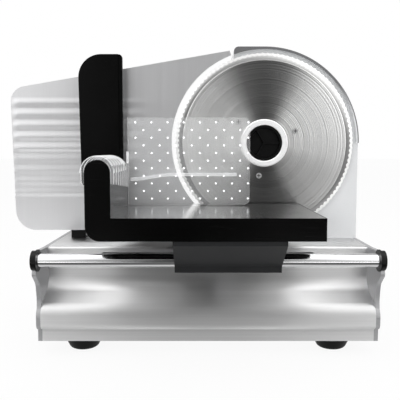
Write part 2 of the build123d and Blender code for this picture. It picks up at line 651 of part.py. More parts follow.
# ---- pusher ----
def food_pusher():
    saddle_in = WALL_W / 2 + 0.5
    saddle_out = saddle_in + SADDLE_T
    axis_z = WALL_TOP - WALL_W / 2
    half_ring = Circle(saddle_out) - Circle(saddle_in) - Pos(0, -saddle_out) * Rectangle(
        4 * saddle_out, 2 * saddle_out)
    ring = slab_y(Pos(wall_mid, axis_z) * half_ring, FRAME_FRONT, SADDLE_BACK)
    left_leg = block(wall_mid - saddle_out, wall_mid - saddle_in, FRAME_FRONT, SADDLE_BACK,
                     axis_z - 9, axis_z + 0.01)
    plate_front = PUSHER_Y - PUSHER_T / 2
    plate_back = PUSHER_Y + PUSHER_T / 2
    web = outline([
        (FRAME_FRONT, axis_z + 0.01, 0),
        (FRAME_FRONT, axis_z - 9, 2),
        (SADDLE_BACK - 30, axis_z - 14, 30),
        (plate_front - 6, PUSHER_LOW, 8),
        (plate_back, PUSHER_LOW, 0),
        (plate_back, WALL_TOP + 7, 3),
        (plate_front - 3, WALL_TOP + 7, 4),
        (SADDLE_BACK, axis_z + 6, 8),
        (SADDLE_BACK, axis_z + 0.01, 0),
    ])
    leg = slab_x(web, wall_mid + saddle_in, wall_mid + saddle_out)
    face = outline([
        (wall_mid + saddle_in, PUSHER_LOW, 0),
        (PUSHER_RIGHT, PUSHER_LOW, 6),
        (PUSHER_RIGHT, PUSHER_TOP, 6),
        (PUSHER_LEFT + 2, PUSHER_TOP, 6),
        (PUSHER_LEFT + 2, WALL_TOP + 7, 0),
        (wall_mid + saddle_in, WALL_TOP + 7, 0),
    ])
    pusher = ring + left_leg + leg + slab_y(face, plate_front, plate_back)
    rib = outline([
        (wall_mid + saddle_out - 1, RIB_Z - 6, 0),
        (PUSHER_RIGHT - 14, RIB_Z - 3, 2),
        (PUSHER_RIGHT - 14, RIB_Z, 1),
        (wall_mid + saddle_out - 1, RIB_Z - 3, 0),
    ])
    pusher += slab_y(rib, plate_front - 8, plate_front + 0.5)
    spike = Rot(90, 0, 0) * Cone(0.35, SPIKE_D / 2, SPIKE_L)
    rows = int((PUSHER_TOP - PUSHER_LOW - 10) / SPIKE_ROW)
    across = int((PUSHER_RIGHT - PUSHER_LEFT - 8) / SPIKE_PITCH)
    spikes = []
    for row in range(rows + 1):
        z = PUSHER_LOW + 6 + row * SPIKE_ROW
        for column in range(across + 1 - row % 2):
            x = PUSHER_LEFT + 7 + (column + (row % 2) / 2) * SPIKE_PITCH
            spikes.append(Pos(x, plate_back + SPIKE_L / 2, z) * spike)
    return pusher + spikes


# ---- blade and lock ----
def blade_disc():
    profile = [
        (lock_hole_r, 0), (BEVEL_IN_R, 0), (BLADE_R, BLADE_T - BLADE_EDGE_T), (BLADE_R, BLADE_T),
        (lock_hole_r, BLADE_T),
    ]
    disc = turned(profile, BLADE_X, BLADE_Z)
    width = 2 * math.pi * BLADE_R / TEETH_ON_BLADE
    bite_r = (width / 2) ** 2 / (2 * SCALLOP_DEPTH)
    bites = []
    for k in range(TEETH_ON_BLADE):
        x, z = polar(BLADE_R + bite_r - SCALLOP_DEPTH, 360 * k / TEETH_ON_BLADE, BLADE_X, BLADE_Z)
        bites.append(rod_y(bite_r, x, z, -2, BLADE_T + 3))
    disc -= bites
    for angle in blade_screw_angles:
        x, z = polar(blade_screw_r, angle, BLADE_X, BLADE_Z)
        disc -= rod_y(SCREW_D / 2 + FIT, x, z, -1, BLADE_T + 1)
    return disc


def hub_ring():
    return turned([
        (LOCK_R, 0), (LOCK_R, -1.2), (LOCK_R + 0.8, -1.8), (HUB_R - 1.2, -1.8), (HUB_R, -0.6), (HUB_R, 0),
    ], BLADE_X, BLADE_Z)


def blade_screws():
    screws = []
    for angle in blade_screw_angles:
        x, z = polar(blade_screw_r, angle, BLADE_X, BLADE_Z)
        shank = rod_y(SCREW_D / 2, x, z, 0, blade_back + 7)
        head = rod_y(3.0, x, z, -1.3, 0)
        head -= block(x - 0.35, x + 0.35, -2, -0.5, z - 1.9, z + 1.9)
        head -= block(x - 1.9, x + 1.9, -2, -0.5, z - 0.35, z + 0.35)
        screws.append(shank + head)
    return Compound(screws)


def blade_gear():
    """The black wheel behind the blade, with a pocket that the lock's lugs turn in."""
    teeth = slab_y(Pos(BLADE_X, BLADE_Z) * gear_outline(BLADE_TEETH, IDLER_ANGLE),
                   ring_y, ring_y + GEAR_FACE)
    body = turned([
        (SPINDLE_D / 2 + BUSH_WALL + FIT, blade_back + 8), (LOCK_SHANK_R + 3, blade_back + 8),
        (LOCK_SHANK_R + 3, lip_back), (LOCK_SHANK_R + FIT * 4, lip_back),
        (LOCK_SHANK_R + FIT * 4, lock_back_y), (lock_hole_r, lock_back_y), (lock_hole_r, blade_back),
        (blade_seat_r, blade_back), (blade_seat_r, ring_y + 0.5),
        (pitch_blade - 3, ring_y + 0.5), (pitch_blade - 3, ring_y + GEAR_FACE - 2),
        (20, ring_y + GEAR_FACE - 2), (20, ring_y + GEAR_FACE),
        (SPINDLE_D / 2 + BUSH_WALL + FIT, ring_y + GEAR_FACE),
    ], BLADE_X, BLADE_Z)
    gear = teeth - rod_y(pitch_blade - 4, BLADE_X, BLADE_Z, ring_y - 1, ring_y + GEAR_FACE + 1) + body
    for angle in (LUG_ENTRY, LUG_ENTRY + 180):
        way = slab_y(Pos(BLADE_X, BLADE_Z) * sector(2 * lug_r, angle, 20), lock_back_y - 0.1, lip_back + 0.1)
        gear -= way & rod_y(lug_r + GAP, BLADE_X, BLADE_Z, lock_back_y - 0.1, lip_back + 0.1)
    for angle in blade_screw_angles:
        x, z = polar(blade_screw_r, angle, BLADE_X, BLADE_Z)
        gear -= rod_y(SCREW_D / 2, x, z, blade_back - 1, blade_back + 7)
    return gear


def blade_bush():
    y1 = ring_y + GEAR_FACE
    outer = rod_y(SPINDLE_D / 2 + BUSH_WALL, BLADE_X, BLADE_Z, blade_back + 8, y1)
    return outer - rod_y(SPINDLE_D / 2 + FIT, BLADE_X, BLADE_Z, blade_back, y1 + 1)


def blade_lock():
    """The black quarter-turn lock: a cup with three fins, a shank and two lugs."""
    face_y = -1.2
    lock = turned([
        (0, face_y + 4.4), (LOCK_R - 3.4, face_y + 4.4), (LOCK_R - 2.6, face_y), (LOCK_R - GAP, face_y),
        (LOCK_R - GAP, -FIT), (lock_hole_r - GAP, -FIT), (lock_hole_r - GAP, lock_back_y - FIT),
        (LOCK_SHANK_R, lock_back_y - FIT), (LOCK_SHANK_R, lip_back + 2.4),
        (SPINDLE_D / 2 + GAP, lip_back + 2.4),
        (SPINDLE_D / 2 + GAP, spindle_front - GAP), (0, spindle_front - GAP),
    ], BLADE_X, BLADE_Z)
    for k in range(3):
        fin = Rot(0, 0, 120 * k) * Pos((LOCK_R - 3) / 2, 0) * Rectangle(LOCK_R - 3, 1.3)
        lock += slab_y(Pos(BLADE_X, BLADE_Z) * fin, face_y + 0.5, face_y + 4.6)
    for angle in (lug_rest, lug_rest + 180):
        lug = slab_y(Pos(BLADE_X, BLADE_Z) * sector(2 * lug_r, angle, 14), lip_back + 0.2, lip_back + 2.4)
        lug &= rod_y(lug_r - GAP, BLADE_X, BLADE_Z, lip_back, lip_back + 3)
        lock += lug - rod_y(LOCK_SHANK_R - 0.5, BLADE_X, BLADE_Z, lip_back, lip_back + 3)
    return lock


# ---- gear train and motor ----
def idler_gear():
    small_at = IDLER_ANGLE + 180 + 180 / PINION_TEETH
    small = slab_y(Pos(idler_x, idler_z) * gear_outline(PINION_TEETH, small_at), ring_y, second_y + 1)
    large = slab_y(Pos(idler_x, idler_z) * gear_outline(IDLER_TEETH, MOTOR_ANGLE),
                   second_y, second_y + GEAR_FACE)
    return small + large - rod_y(IDLER_PIN_D / 2 + FIT, idler_x, idler_z, 0, DRIVE_PLATE_Y + 20)


def idler_pin():
    return rod_y(IDLER_PIN_D / 2, idler_x, idler_z, TOWER_FRONT + TOWER_WALL, DRIVE_PLATE_Y + DRIVE_PLATE_T)


def blade_spindle():
    pin = rod_y(SPINDLE_D / 2, BLADE_X, BLADE_Z, spindle_front, DRIVE_PLATE_Y + DRIVE_PLATE_T)
    collar = rod_y(SPINDLE_D / 2 + 4, BLADE_X, BLADE_Z, ring_y + GEAR_FACE + GAP, DRIVE_PLATE_Y)
    return pin + collar


def motor_pinion():
    at = MOTOR_ANGLE + 180 + 180 / PINION_TEETH
    teeth = Pos(motor_x, motor_z) * gear_outline(PINION_TEETH, at)
    wheel = slab_y(teeth, second_y - 0.5, second_y + GEAR_FACE + 0.5)
    return wheel - rod_y(SHAFT_D / 2 + FIT, motor_x, motor_z, second_y - 2, second_y + GEAR_FACE + 2)


def drive_plate():
    plate = block(TOWER_LEFT + TOWER_WALL + 1, tower_right - TOWER_WALL - 1,
                  DRIVE_PLATE_Y, DRIVE_PLATE_Y + DRIVE_PLATE_T, DECK_Z + 3, BLADE_Z + 74)
    front, back = DRIVE_PLATE_Y - 1, DRIVE_PLATE_Y + DRIVE_PLATE_T + 1
    plate -= rod_y(SPINDLE_D / 2 + FIT, BLADE_X, BLADE_Z, front, back)
    plate -= rod_y(IDLER_PIN_D / 2 + FIT, idler_x, idler_z, front, back)
    plate -= rod_y(8 + FIT, motor_x, motor_z, front, back)
    for x, z in plate_bolts + motor_bolts:
        plate -= rod_y(SCREW_D / 2 + FIT, x, z, front, back)
    return plate & slab_y(tower_face(TOWER_WALL + 1), front, back)


def motor_can():
    can = rod_y(MOTOR_D / 2, motor_x, motor_z, motor_front, motor_back)
    can -= rod_y(MOTOR_D / 2 - MOTOR_WALL, motor_x, motor_z, motor_front + 3, motor_back + 1)
    nose = rod_y(8, motor_x, motor_z, motor_front - DRIVE_PLATE_T, motor_front)
    can += nose
    can -= rod_y(motor_bush_r + FIT, motor_x, motor_z, motor_front - 9, motor_front + 4)
    for x, z in motor_bolts:
        can -= rod_y(SCREW_D / 2, x, z, motor_front - 1, motor_front + 4)
    return can


def motor_end_cap():
    cap = rod_y(MOTOR_D / 2, motor_x, motor_z, motor_back, motor_back + 5)
    cap += rod_y(MOTOR_D / 2 - MOTOR_WALL - FIT, motor_x, motor_z, motor_back - 4, motor_back)
    cap -= rod_y(MOTOR_D / 2 - MOTOR_WALL - 2.5, motor_x, motor_z, motor_back - 5, motor_back)
    cap -= rod_y(motor_bush_r + FIT, motor_x, motor_z, motor_back - 5, motor_back + 6)
    for side in (-1, 1):
        cap += block(*sorted((motor_x + side * 6.9, motor_x + side * 16)), motor_back - 11, motor_back + 0.1,
                     motor_z - 4.5, motor_z + 4.5)
        cap -= brush_block(side, FIT)
    return cap


def brush_block(side, grow):
    near, far = COMMUTATOR_R + GAP - grow, 14.5 + grow
    return block(*sorted((motor_x + side * near, motor_x + side * far)),
                 motor_back - 9 - grow, motor_back - 3 + grow, motor_z - 2.5 - grow, motor_z + 2.5 + grow)


def motor_brushes():
    return Compound([brush_block(side, 0) for side in (-1, 1)])


def motor_bushes():
    bushes = []
    for y0, y1 in ((motor_front - DRIVE_PLATE_T, motor_front + 3), (motor_back, motor_back + 5)):
        tube = rod_y(motor_bush_r, motor_x, motor_z, y0, y1)
        bushes.append(tube - rod_y(SHAFT_D / 2 + FIT, motor_x, motor_z, y0 - 1, y1 + 1))
    return Compound(bushes)


def motor_magnets():
    ring = Circle(MOTOR_D / 2 - MOTOR_WALL - FIT) - Circle(MOTOR_D / 2 - MOTOR_WALL - 4)
    magnets = []
    for middle in (90, 270):
        arc = ring & sector(3 * MOTOR_D, middle, 60)
        magnets.append(slab_y(Pos(motor_x, motor_z) * arc, motor_front + 6, motor_back - 14))
    return Compound(magnets)


def motor_shaft():
    return rod_y(SHAFT_D / 2, motor_x, motor_z, second_y - 1, motor_back + 4.5)


def armature_core():
    core = Circle(core_r)
    for angle in slot_angles:
        x, z = polar(core_r * 0.62, angle)
        core -= Pos(x, z) * Circle(core_r * 0.24)
        neck_x, neck_z = polar(core_r * 0.9, angle)
        core -= Pos(neck_x, neck_z) * Rot(0, 0, angle) * Rectangle(core_r * 0.4, 2.0)
    core -= Circle(SHAFT_D / 2 + FIT)
    return slab_y(Pos(motor_x, motor_z) * core, motor_front + 9, motor_back - 18)


def armature_windings():
    """One bundle of wire in each slot, joined by a ring of turns at each end of the core."""
    y0, y1 = motor_front + 9, motor_back - 18
    coil = None
    for angle in slot_angles:
        x, z = polar(core_r * 0.62, angle, motor_x, motor_z)
        bundle = rod_y(core_r * 0.24 - 0.2, x, z, y0 - 2, y1 + 2)
        coil = bundle if coil is None else coil + bundle
    for start, end in ((y0 - 2.5, y0 - 0.2), (y1 + 0.2, y1 + 2.5)):
        ring = rod_y(core_r * 0.85, motor_x, motor_z, start, end)
        coil += ring - rod_y(core_r * 0.36, motor_x, motor_z, start - 1, end + 1)
    return coil


def commutator():
    drum = rod_y(COMMUTATOR_R, motor_x, motor_z, motor_back - 14, motor_back - 1.5)
    return drum - rod_y(SHAFT_D / 2 + FIT, motor_x, motor_z, motor_back - 15, motor_back)


# ---- tower ----
def tower_face(grow=0.0):
    """The tower seen from the front, made smaller all round by grow."""
    rim = TOWER_RIM_R - grow
    left = TOWER_LEFT + grow
    low = DECK_Z
    upright = outline([
        (left, low, 0),
        (tower_right - grow, low, 0),
        (tower_right - grow, BLADE_Z + 0.01, 0),
        (BLADE_X + 0.01, BLADE_Z + 0.01, 0),
        (BLADE_X + 0.01, tower_top - grow, 0),
        (left, tower_top - grow, TOWER_CORNER_R - grow * 0.9),
    ])
    corner = Pos(BLADE_X + rim / 2, BLADE_Z + rim / 2) * Rectangle(rim, rim)
    quarter = (Pos(BLADE_X, BLADE_Z) * Circle(rim)) & corner
    drum = Pos(BLADE_X, BLADE_Z) * Circle(drum_r - grow)
    return upright + quarter + drum


def tower_front():
    shell = slab_y(tower_face(), TOWER_FRONT, TOWER_SPLIT)
    shell -= slab_y(tower_face(TOWER_WALL), TOWER_FRONT + TOWER_WALL, TOWER_SPLIT + 1)
    rim = tower_face() - Pos(BLADE_X, BLADE_Z) * Circle(RIM_INNER_R)
    rim &= Pos(BLADE_X + 100, BLADE_Z + 100) * Rectangle(2 * (100 + BLADE_X - TOWER_LEFT), 200)
    shell += slab_y(rim, RIM_FRONT, TOWER_FRONT + 0.5)
    shell -= rod_y(pitch_blade + GEAR_MODULE + 0.7, BLADE_X, BLADE_Z, TOWER_FRONT - 1,
                   TOWER_FRONT + TOWER_WALL + 1)
    shell += rod_y(7, idler_x, idler_z, TOWER_FRONT + 1, TOWER_FRONT + TOWER_WALL + 2)
    shell -= rod_y(IDLER_PIN_D / 2 + FIT, idler_x, idler_z, TOWER_FRONT + TOWER_WALL,
                   TOWER_FRONT + TOWER_WALL + 6)
    for x, z in plate_bolts:
        shell += rod_y(4.5, x, z, TOWER_FRONT + 1, DRIVE_PLATE_Y)
        shell -= rod_y(SCREW_D / 2, x, z, DRIVE_PLATE_Y - 12, DRIVE_PLATE_Y + 1)
    for x, z in cover_bolts:
        shell += rod_y(5, x, z, TOWER_SPLIT - 26, TOWER_SPLIT) & slab_y(tower_face(0.5), 0, TOWER_SPLIT)
        shell -= rod_y(SCREW_D / 2, x, z, TOWER_SPLIT - 12, TOWER_SPLIT + 1)
    for x, y in tower_bolts:
        wall, inward = (TOWER_LEFT + 1, x + 5) if x < BLADE_X else (tower_right - 1, x - 5)
        shell += block(*sorted((wall, inward)), y - 5, y + 5, DECK_Z, DECK_Z + 11)
        shell -= rod_z(SCREW_D / 2, x, y, DECK_Z - 1, DECK_Z + 9)
    shell -= switch_cut()
    return shell


def tower_rear():
    shell = slab_y(tower_face(), TOWER_SPLIT, TOWER_BACK)
    shell -= slab_y(tower_face(TOWER_WALL), TOWER_SPLIT - 1, TOWER_BACK - TOWER_WALL)
    for row in range(VENT_ROWS):
        z = vent_low + VENT_PITCH * row
        shell -= block(vent_x - VENT_HALF, vent_x + VENT_HALF, TOWER_BACK - TOWER_WALL - 1, TOWER_BACK + 1,
                       z, z + VENT_H)
    for x, z in cover_bolts:
        shell += rod_y(5, x, z, TOWER_SPLIT, TOWER_BACK - 1) & slab_y(tower_face(0.5), 0, TOWER_BACK)
        shell -= rod_y(SCREW_D / 2 + FIT, x, z, TOWER_SPLIT - 1, TOWER_BACK + 1)
        shell -= rod_y(SCREW_HEAD_D / 2 + FIT, x, z, TOWER_BACK - 8, TOWER_BACK + 1)
    return shell


def switch_cut():
    return block(tower_right - TOWER_WALL - 1, tower_right + 1, SWITCH_Y - 11 - FIT, SWITCH_Y + 11 + FIT,
                 switch_z - 14 - FIT, switch_z + 14 + FIT)


def switch_body():
    """The rocker's frame, let into the tower's right wall."""
    body = block(tower_right - 16, tower_right, SWITCH_Y - 11, SWITCH_Y + 11, switch_z - 14, switch_z + 14)
    body += block(tower_right, tower_right + 1.5, SWITCH_Y - 13, SWITCH_Y + 13, switch_z - 16, switch_z + 16)
    body -= block(tower_right - 12, tower_right + 2, SWITCH_Y - 8, SWITCH_Y + 8, switch_z - 11,
                  switch_z + 11)
    body -= rod_y(1.5, rocker_x, switch_z, SWITCH_Y - 10, SWITCH_Y + 10)
    return body


def switch_rocker():
    side = outline([
        (tower_right - 4, switch_z - 9.6, 0),
        (tower_right + 1.2, switch_z - 9.6, 0.5),
        (tower_right + 2.6, switch_z, 6),
        (tower_right + 4.4, switch_z + 9.6, 0.5),
        (tower_right - 4, switch_z + 9.6, 0),
        (rocker_x - 3, switch_z, 0),
    ])
    rocker = slab_y(side, SWITCH_Y - 8 + GAP, SWITCH_Y + 8 - GAP)
    return rocker + rod_y(1.5 - FIT, rocker_x, switch_z, SWITCH_Y - 10, SWITCH_Y + 10)


# ---- fixings that share a node ----
def foot_screws():
    return Compound([screw_z(x, y, FOOT_H - 6.5, 18) for x, y in foot_places])


def end_screws_all():
    screws = []
    for side in (-1, 1):
        for y, z in end_screws:
            screws.append(screw_x(y, z, side * BASE_HALF, 10, right=side < 0))
    return Compound(screws)


def deck_screws():
    places = tower_bolts + support_bolts
    return Compound([screw_z(x, y, deck_under, 9) for x, y in places])


def cover_screws():
    return Compound([screw_y(x, z, TOWER_BACK - 8, 30, back=False) for x, z in cover_bolts])


def drive_screws():
    back = DRIVE_PLATE_Y + DRIVE_PLATE_T
    screws = [screw_y(x, z, back, 12, back=False) for x, z in plate_bolts]
    screws += [screw_y(x, z, DRIVE_PLATE_Y, DRIVE_PLATE_T + 2.8) for x, z in motor_bolts]
    return Compound(screws)


# ---- electrics ----
def control_board():
    x, y = board_mid
    board = block(x - 30, x + 30, y - 20, y + 20, board_z, board_z + 1.6)
    board += block(x - 26, x - 8, y - 16, y + 2, board_z + 1.6, board_z + 14)
    board += rod_z(7, x + 12, y - 8, board_z + 1.6, board_z + 22)
    board += block(x - 9, x + 9, y + 6, y + 13, board_z + 1.6, GLAND_Z + 4.5)
    return board


def cord_gland():
    gland = rod_y(GLAND_D / 2, GLAND_X, GLAND_Z, BACK_Y - SHEET - 4, BACK_Y)
    gland += rod_y(GLAND_D / 2 + 2.5, GLAND_X, GLAND_Z, BACK_Y, BACK_Y + 2.5)
    gland += rod_y(GLAND_D / 2 + 2.5, GLAND_X, GLAND_Z, BACK_Y - SHEET - 6.5, BACK_Y - SHEET)
    return gland - rod_y(3.5, GLAND_X, GLAND_Z, BACK_Y - 12, BACK_Y + 4)


def inner_leads():
    """The mains lead from the gland to the board, and the pair that rises to the motor."""
    by = board_mid[1]
    mains = rod_y(3.5 - FIT, GLAND_X, GLAND_Z, by + 13, BACK_Y - SHEET - 4)
    rise = rod_z(LEAD_R, lead_x, lead_y, board_z + 1.6, motor_z)
    return Compound([mains, rise])


# ---- guide plate and adjuster ----
def guide_outline():
    whole = outline([
        (GUIDE_LOW_LEFT, GUIDE_LOW, 21),
        (guide_end, GUIDE_LOW, 0),
        (guide_end, GUIDE_LOW + 5, 0),
        (BLADE_X, BLADE_Z, 0),
        (GUIDE_RIGHT, GUIDE_TOP, 0),
        (GUIDE_LEFT, GUIDE_TOP_LEFT, 14),
    ])
    return whole - Pos(BLADE_X, BLADE_Z) * Circle(GUIDE_ARC_R)


def guide_plate():
    plate = slab_y(guide_outline(), RIB_H, GUIDE_T + RIB_H)
    for k in range(RIB_COUNT):
        z = RIB_TOP_Z - k * RIB_PITCH
        rib = Pos((GUIDE_LEFT + 3 + GUIDE_RIB_END) / 2, z) * SlotOverall(GUIDE_RIB_END - GUIDE_LEFT - 3, RIB_W)
        plate += slab_y(rib, 0, RIB_H + 0.2)
    for x, z in guide_bolts:
        plate -= rod_y(SCREW_D / 2, x, z, RIB_H + 1, RIB_H + GUIDE_T + 1)
    return plate


def guide_bracket():
    """The arm behind the guide plate: an upright, two lugs for the runners and the pin's arm."""
    y0 = GUIDE_T + RIB_H
    upright = block(PAD_LEFT, SUPPORT_RIGHT + 8, y0, y0 + 5, DECK_Z + 3, DECK_Z + 90)
    upright += block(PAD_LEFT, SUPPORT_RIGHT + 8, y0, y0 + 10, DECK_Z + 6, DECK_Z + 23)
    arm = block(support_mid - 6, support_mid + 6, y0 + 4, cam_pin_y + 5, CAM_Z - 5, CAM_Z + 5)
    bracket = upright + arm
    for x in runner_xs:
        bracket -= rod_y(RUNNER_D / 2 + FIT, x, RUNNER_Z, y0 + 2, y0 + 11)
    bracket -= rod_x(CAM_PIN_D / 2 + FIT, cam_pin_y, CAM_Z, support_mid - 7, support_mid + 7)
    for x, z in guide_bolts:
        bracket -= rod_y(SCREW_D / 2 + FIT, x, z, y0 - 1, y0 + 6)
    return bracket


def guide_foot():
    """The black shoe under the bracket's left end, just clear of the deck."""
    y0 = GUIDE_T + RIB_H
    shoe = block(PAD_LEFT, PAD_RIGHT, y0 - 0.9, y0 + 14, DECK_Z + GAP, DECK_Z + 22)
    return shoe - block(PAD_LEFT - 1, PAD_RIGHT + 1, y0 - FIT, y0 + 10 + FIT, DECK_Z + 6 - FIT, DECK_Z + 23) - \
        block(PAD_LEFT - 1, PAD_RIGHT + 1, y0 - FIT, y0 + 5 + FIT, DECK_Z + 3 - FIT, DECK_Z + 7) - \
        block(PAD_LEFT - 1, PAD_RIGHT + 1, y0 - 1, y0 + 0.1, GUIDE_LOW - FIT, DECK_Z + 23)


def guide_runners():
    y0 = GUIDE_T + RIB_H + 2
    return Compound([rod_y(RUNNER_D / 2, x, RUNNER_Z, y0, SUPPORT_BACK + 2) for x in runner_xs])


def guide_screws():
    y0 = GUIDE_T + RIB_H + 5
    return Compound([screw_y(x, z, y0, 7, back=False) for x, z in guide_bolts])


def guide_support():
    """The block on the deck that the runners slide in and the adjuster turns in."""
    body = block(SUPPORT_LEFT, SUPPORT_RIGHT, SUPPORT_FRONT, SUPPORT_BACK, DECK_Z, SUPPORT_TOP)
    body -= block(SUPPORT_LEFT + SUPPORT_WALL, SUPPORT_RIGHT - SUPPORT_WALL, SUPPORT_FRONT + SUPPORT_WALL,
                  SUPPORT_BACK - SUPPORT_WALL, DECK_Z - 1, SUPPORT_TOP - SUPPORT_WALL)
    for x in runner_xs:
        body += block(x - 6, x + 6, SUPPORT_FRONT, SUPPORT_FRONT + 10, DECK_Z, RUNNER_Z + 6)
        body += block(x - 6, x + 6, SUPPORT_BACK - 10, SUPPORT_BACK, DECK_Z, RUNNER_Z + 6)
        body -= rod_y(RUNNER_D / 2 + FIT, x, RUNNER_Z, SUPPORT_FRONT - 1, SUPPORT_BACK + 1)
    body -= block(support_mid - 7, support_mid + 7, SUPPORT_FRONT - 1, SUPPORT_FRONT + SUPPORT_WALL + 1,
                  CAM_Z - 6, CAM_Z + 6)
    body += rod_x(9, CAM_Y, CAM_Z, SUPPORT_LEFT, SUPPORT_LEFT + 8)
    body -= rod_x(KNOB_SHAFT_R + FIT, CAM_Y, CAM_Z, SUPPORT_LEFT - 1, SUPPORT_LEFT + 9)
    for x, y in support_bolts:
        body += block(x - 5, x + 5, y - 5, y + 5, DECK_Z, DECK_Z + 9)
        body -= rod_z(SCREW_D / 2, x, y, DECK_Z - 1, DECK_Z + 8)
    return body


def spiral(side, turn):
    """The groove's wall, side +1 or -1, at a share of the turn: (Y, Z) from the cam's axis."""
    angle = math.radians(180 - CAM_TURN * turn)
    radius = cam_high_r - (cam_high_r - CAM_LOW_R) * turn
    slope = -(cam_high_r - CAM_LOW_R) / (-math.radians(CAM_TURN))
    along = math.hypot(radius, slope)
    out_y = (radius * math.cos(angle) + slope * math.sin(angle)) / along
    out_z = (radius * math.sin(angle) - slope * math.cos(angle)) / along
    reach = side * (CAM_PIN_D / 2 + 0.25)
    return radius * math.cos(angle) + reach * out_y, radius * math.sin(angle) + reach * out_z


def thickness_cam():
    """A disc with a spiral groove, on its shaft: turning it draws the guide plate back."""
    steps = [k / 40 for k in range(-2, 46)]
    outer = Spline(*[spiral(1, t) for t in steps])
    inner = Spline(*[spiral(-1, t) for t in reversed(steps)])
    ends = Line(spiral(1, steps[-1]), spiral(-1, steps[-1])) + Line(spiral(-1, steps[0]), spiral(1, steps[0]))
    groove = make_face(outer + inner + ends)
    disc_r = cam_high_r + CAM_PIN_D / 2 + 4
    x1 = support_mid - 6 - GAP
    cam = rod_x(disc_r, CAM_Y, CAM_Z, x1 - CAM_T, x1)
    cam -= slab_x(Pos(CAM_Y, CAM_Z) * groove, x1 - CAM_T + 2.5, x1 + 1)
    cam += rod_x(KNOB_SHAFT_R, CAM_Y, CAM_Z, SUPPORT_LEFT - KNOB_L * 0.6, x1 - CAM_T + 1)
    return cam


def cam_pin():
    x1 = support_mid - 6 - GAP
    return rod_x(CAM_PIN_D / 2, cam_pin_y, CAM_Z, x1 - CAM_T + 2.5 + GAP, support_mid + 6)


def thickness_knob():
    x1 = SUPPORT_LEFT - GAP
    x0 = x1 - KNOB_L
    knob = rod_x(KNOB_D / 2, CAM_Y, CAM_Z, x0, x1)
    grips = []
    for k in range(KNOB_GRIPS):
        y, z = polar(KNOB_D / 2 + 1.2, 360 * k / KNOB_GRIPS, CAM_Y, CAM_Z)
        grips.append(rod_x(2.4, y, z, x0 - 1, x1 - 4))
    knob -= grips
    knob -= rod_x(KNOB_D / 2 - 4, CAM_Y, CAM_Z, x1 - 5, x1 + 1)
    knob += rod_x(KNOB_SHAFT_R + 3, CAM_Y, CAM_Z, x0 + 1, x1)
    knob -= rod_x(KNOB_SHAFT_R + FIT, CAM_Y, CAM_Z, SUPPORT_LEFT - KNOB_L * 0.6 - FIT, x1 + 1)
    return knob


# ---- all pieces, by name ----
pieces = {
    "base_shell": base_shell(),
    "base_pan": base_pan(),
    "left_end_plate": end_plate(-1),
    "right_end_plate": end_plate(1),
    "rod_caps": rod_caps(),
    "slide_rod": slide_rod(),
    "guide_rail": guide_rail(),
    "foot_screws": foot_screws(),
    "end_screws": end_screws_all(),
    "deck_screws": deck_screws(),
    "cover_screws": cover_screws(),
    "drive_screws": drive_screws(),
    "tower_front": tower_front(),
    "tower_rear": tower_rear(),
    "drive_plate": drive_plate(),
    "blade_spindle": blade_spindle(),
    "idler_pin": idler_pin(),
    "motor_can": motor_can(),
    "motor_end_cap": motor_end_cap(),
    "motor_magnets": motor_magnets(),
    "motor_brushes": motor_brushes(),
    "motor_bushes": motor_bushes(),
    "control_board": control_board(),
    "cord_gland": cord_gland(),
    "inner_leads": inner_leads(),
    "switch_body": switch_body(),
    "switch_rocker": switch_rocker(),
    "guide_support": guide_support(),
    "blade_disc": blade_disc(),
    "hub_ring": hub_ring(),
    "blade_screws": blade_screws(),
    "blade_gear": blade_gear(),
    "blade_bush": blade_bush(),
    "blade_lock": blade_lock(),
    "idler_gear": idler_gear(),
    "motor_shaft": motor_shaft(),
    "motor_pinion": motor_pinion(),
    "armature_core": armature_core(),
    "armature_windings": armature_windings(),
    "commutator": commutator(),
    "carriage_frame": carriage_frame(),
    "hand_shield": hand_shield(),
    "tray_plate": tray_plate(),
    "slider_bracket": slider_bracket(),
    "rod_bushes": rod_bushes(),
    "guide_tongue": guide_tongue(),
    "carriage_screws": carriage_screws(),
    "food_pusher": food_pusher(),
    "guide_plate": guide_plate(),
    "guide_bracket": guide_bracket(),
    "guide_foot": guide_foot(),
    "guide_runners": guide_runners(),
    "guide_screws": guide_screws(),
    "cam_pin": cam_pin(),
    "thickness_cam": thickness_cam(),
    "thickness_knob": thickness_knob(),
}
for (x, y), name in zip(foot_places, ("front_left_foot", "rear_left_foot", "front_right_foot", "rear_right_foot")):
    pieces[name] = foot(x, y)

# ---- the origin goes to the middle of the bottom of the machine's box ----
whole = Compound(list(pieces.values())).bounding_box()
shift = Pos(-(whole.min.X + whole.max.X) / 2, -(whole.min.Y + whole.max.Y) / 2, -whole.min.Z)
for name, piece in pieces.items():
    export_step(shift * piece, f"parts/{name}.step")
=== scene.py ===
import math

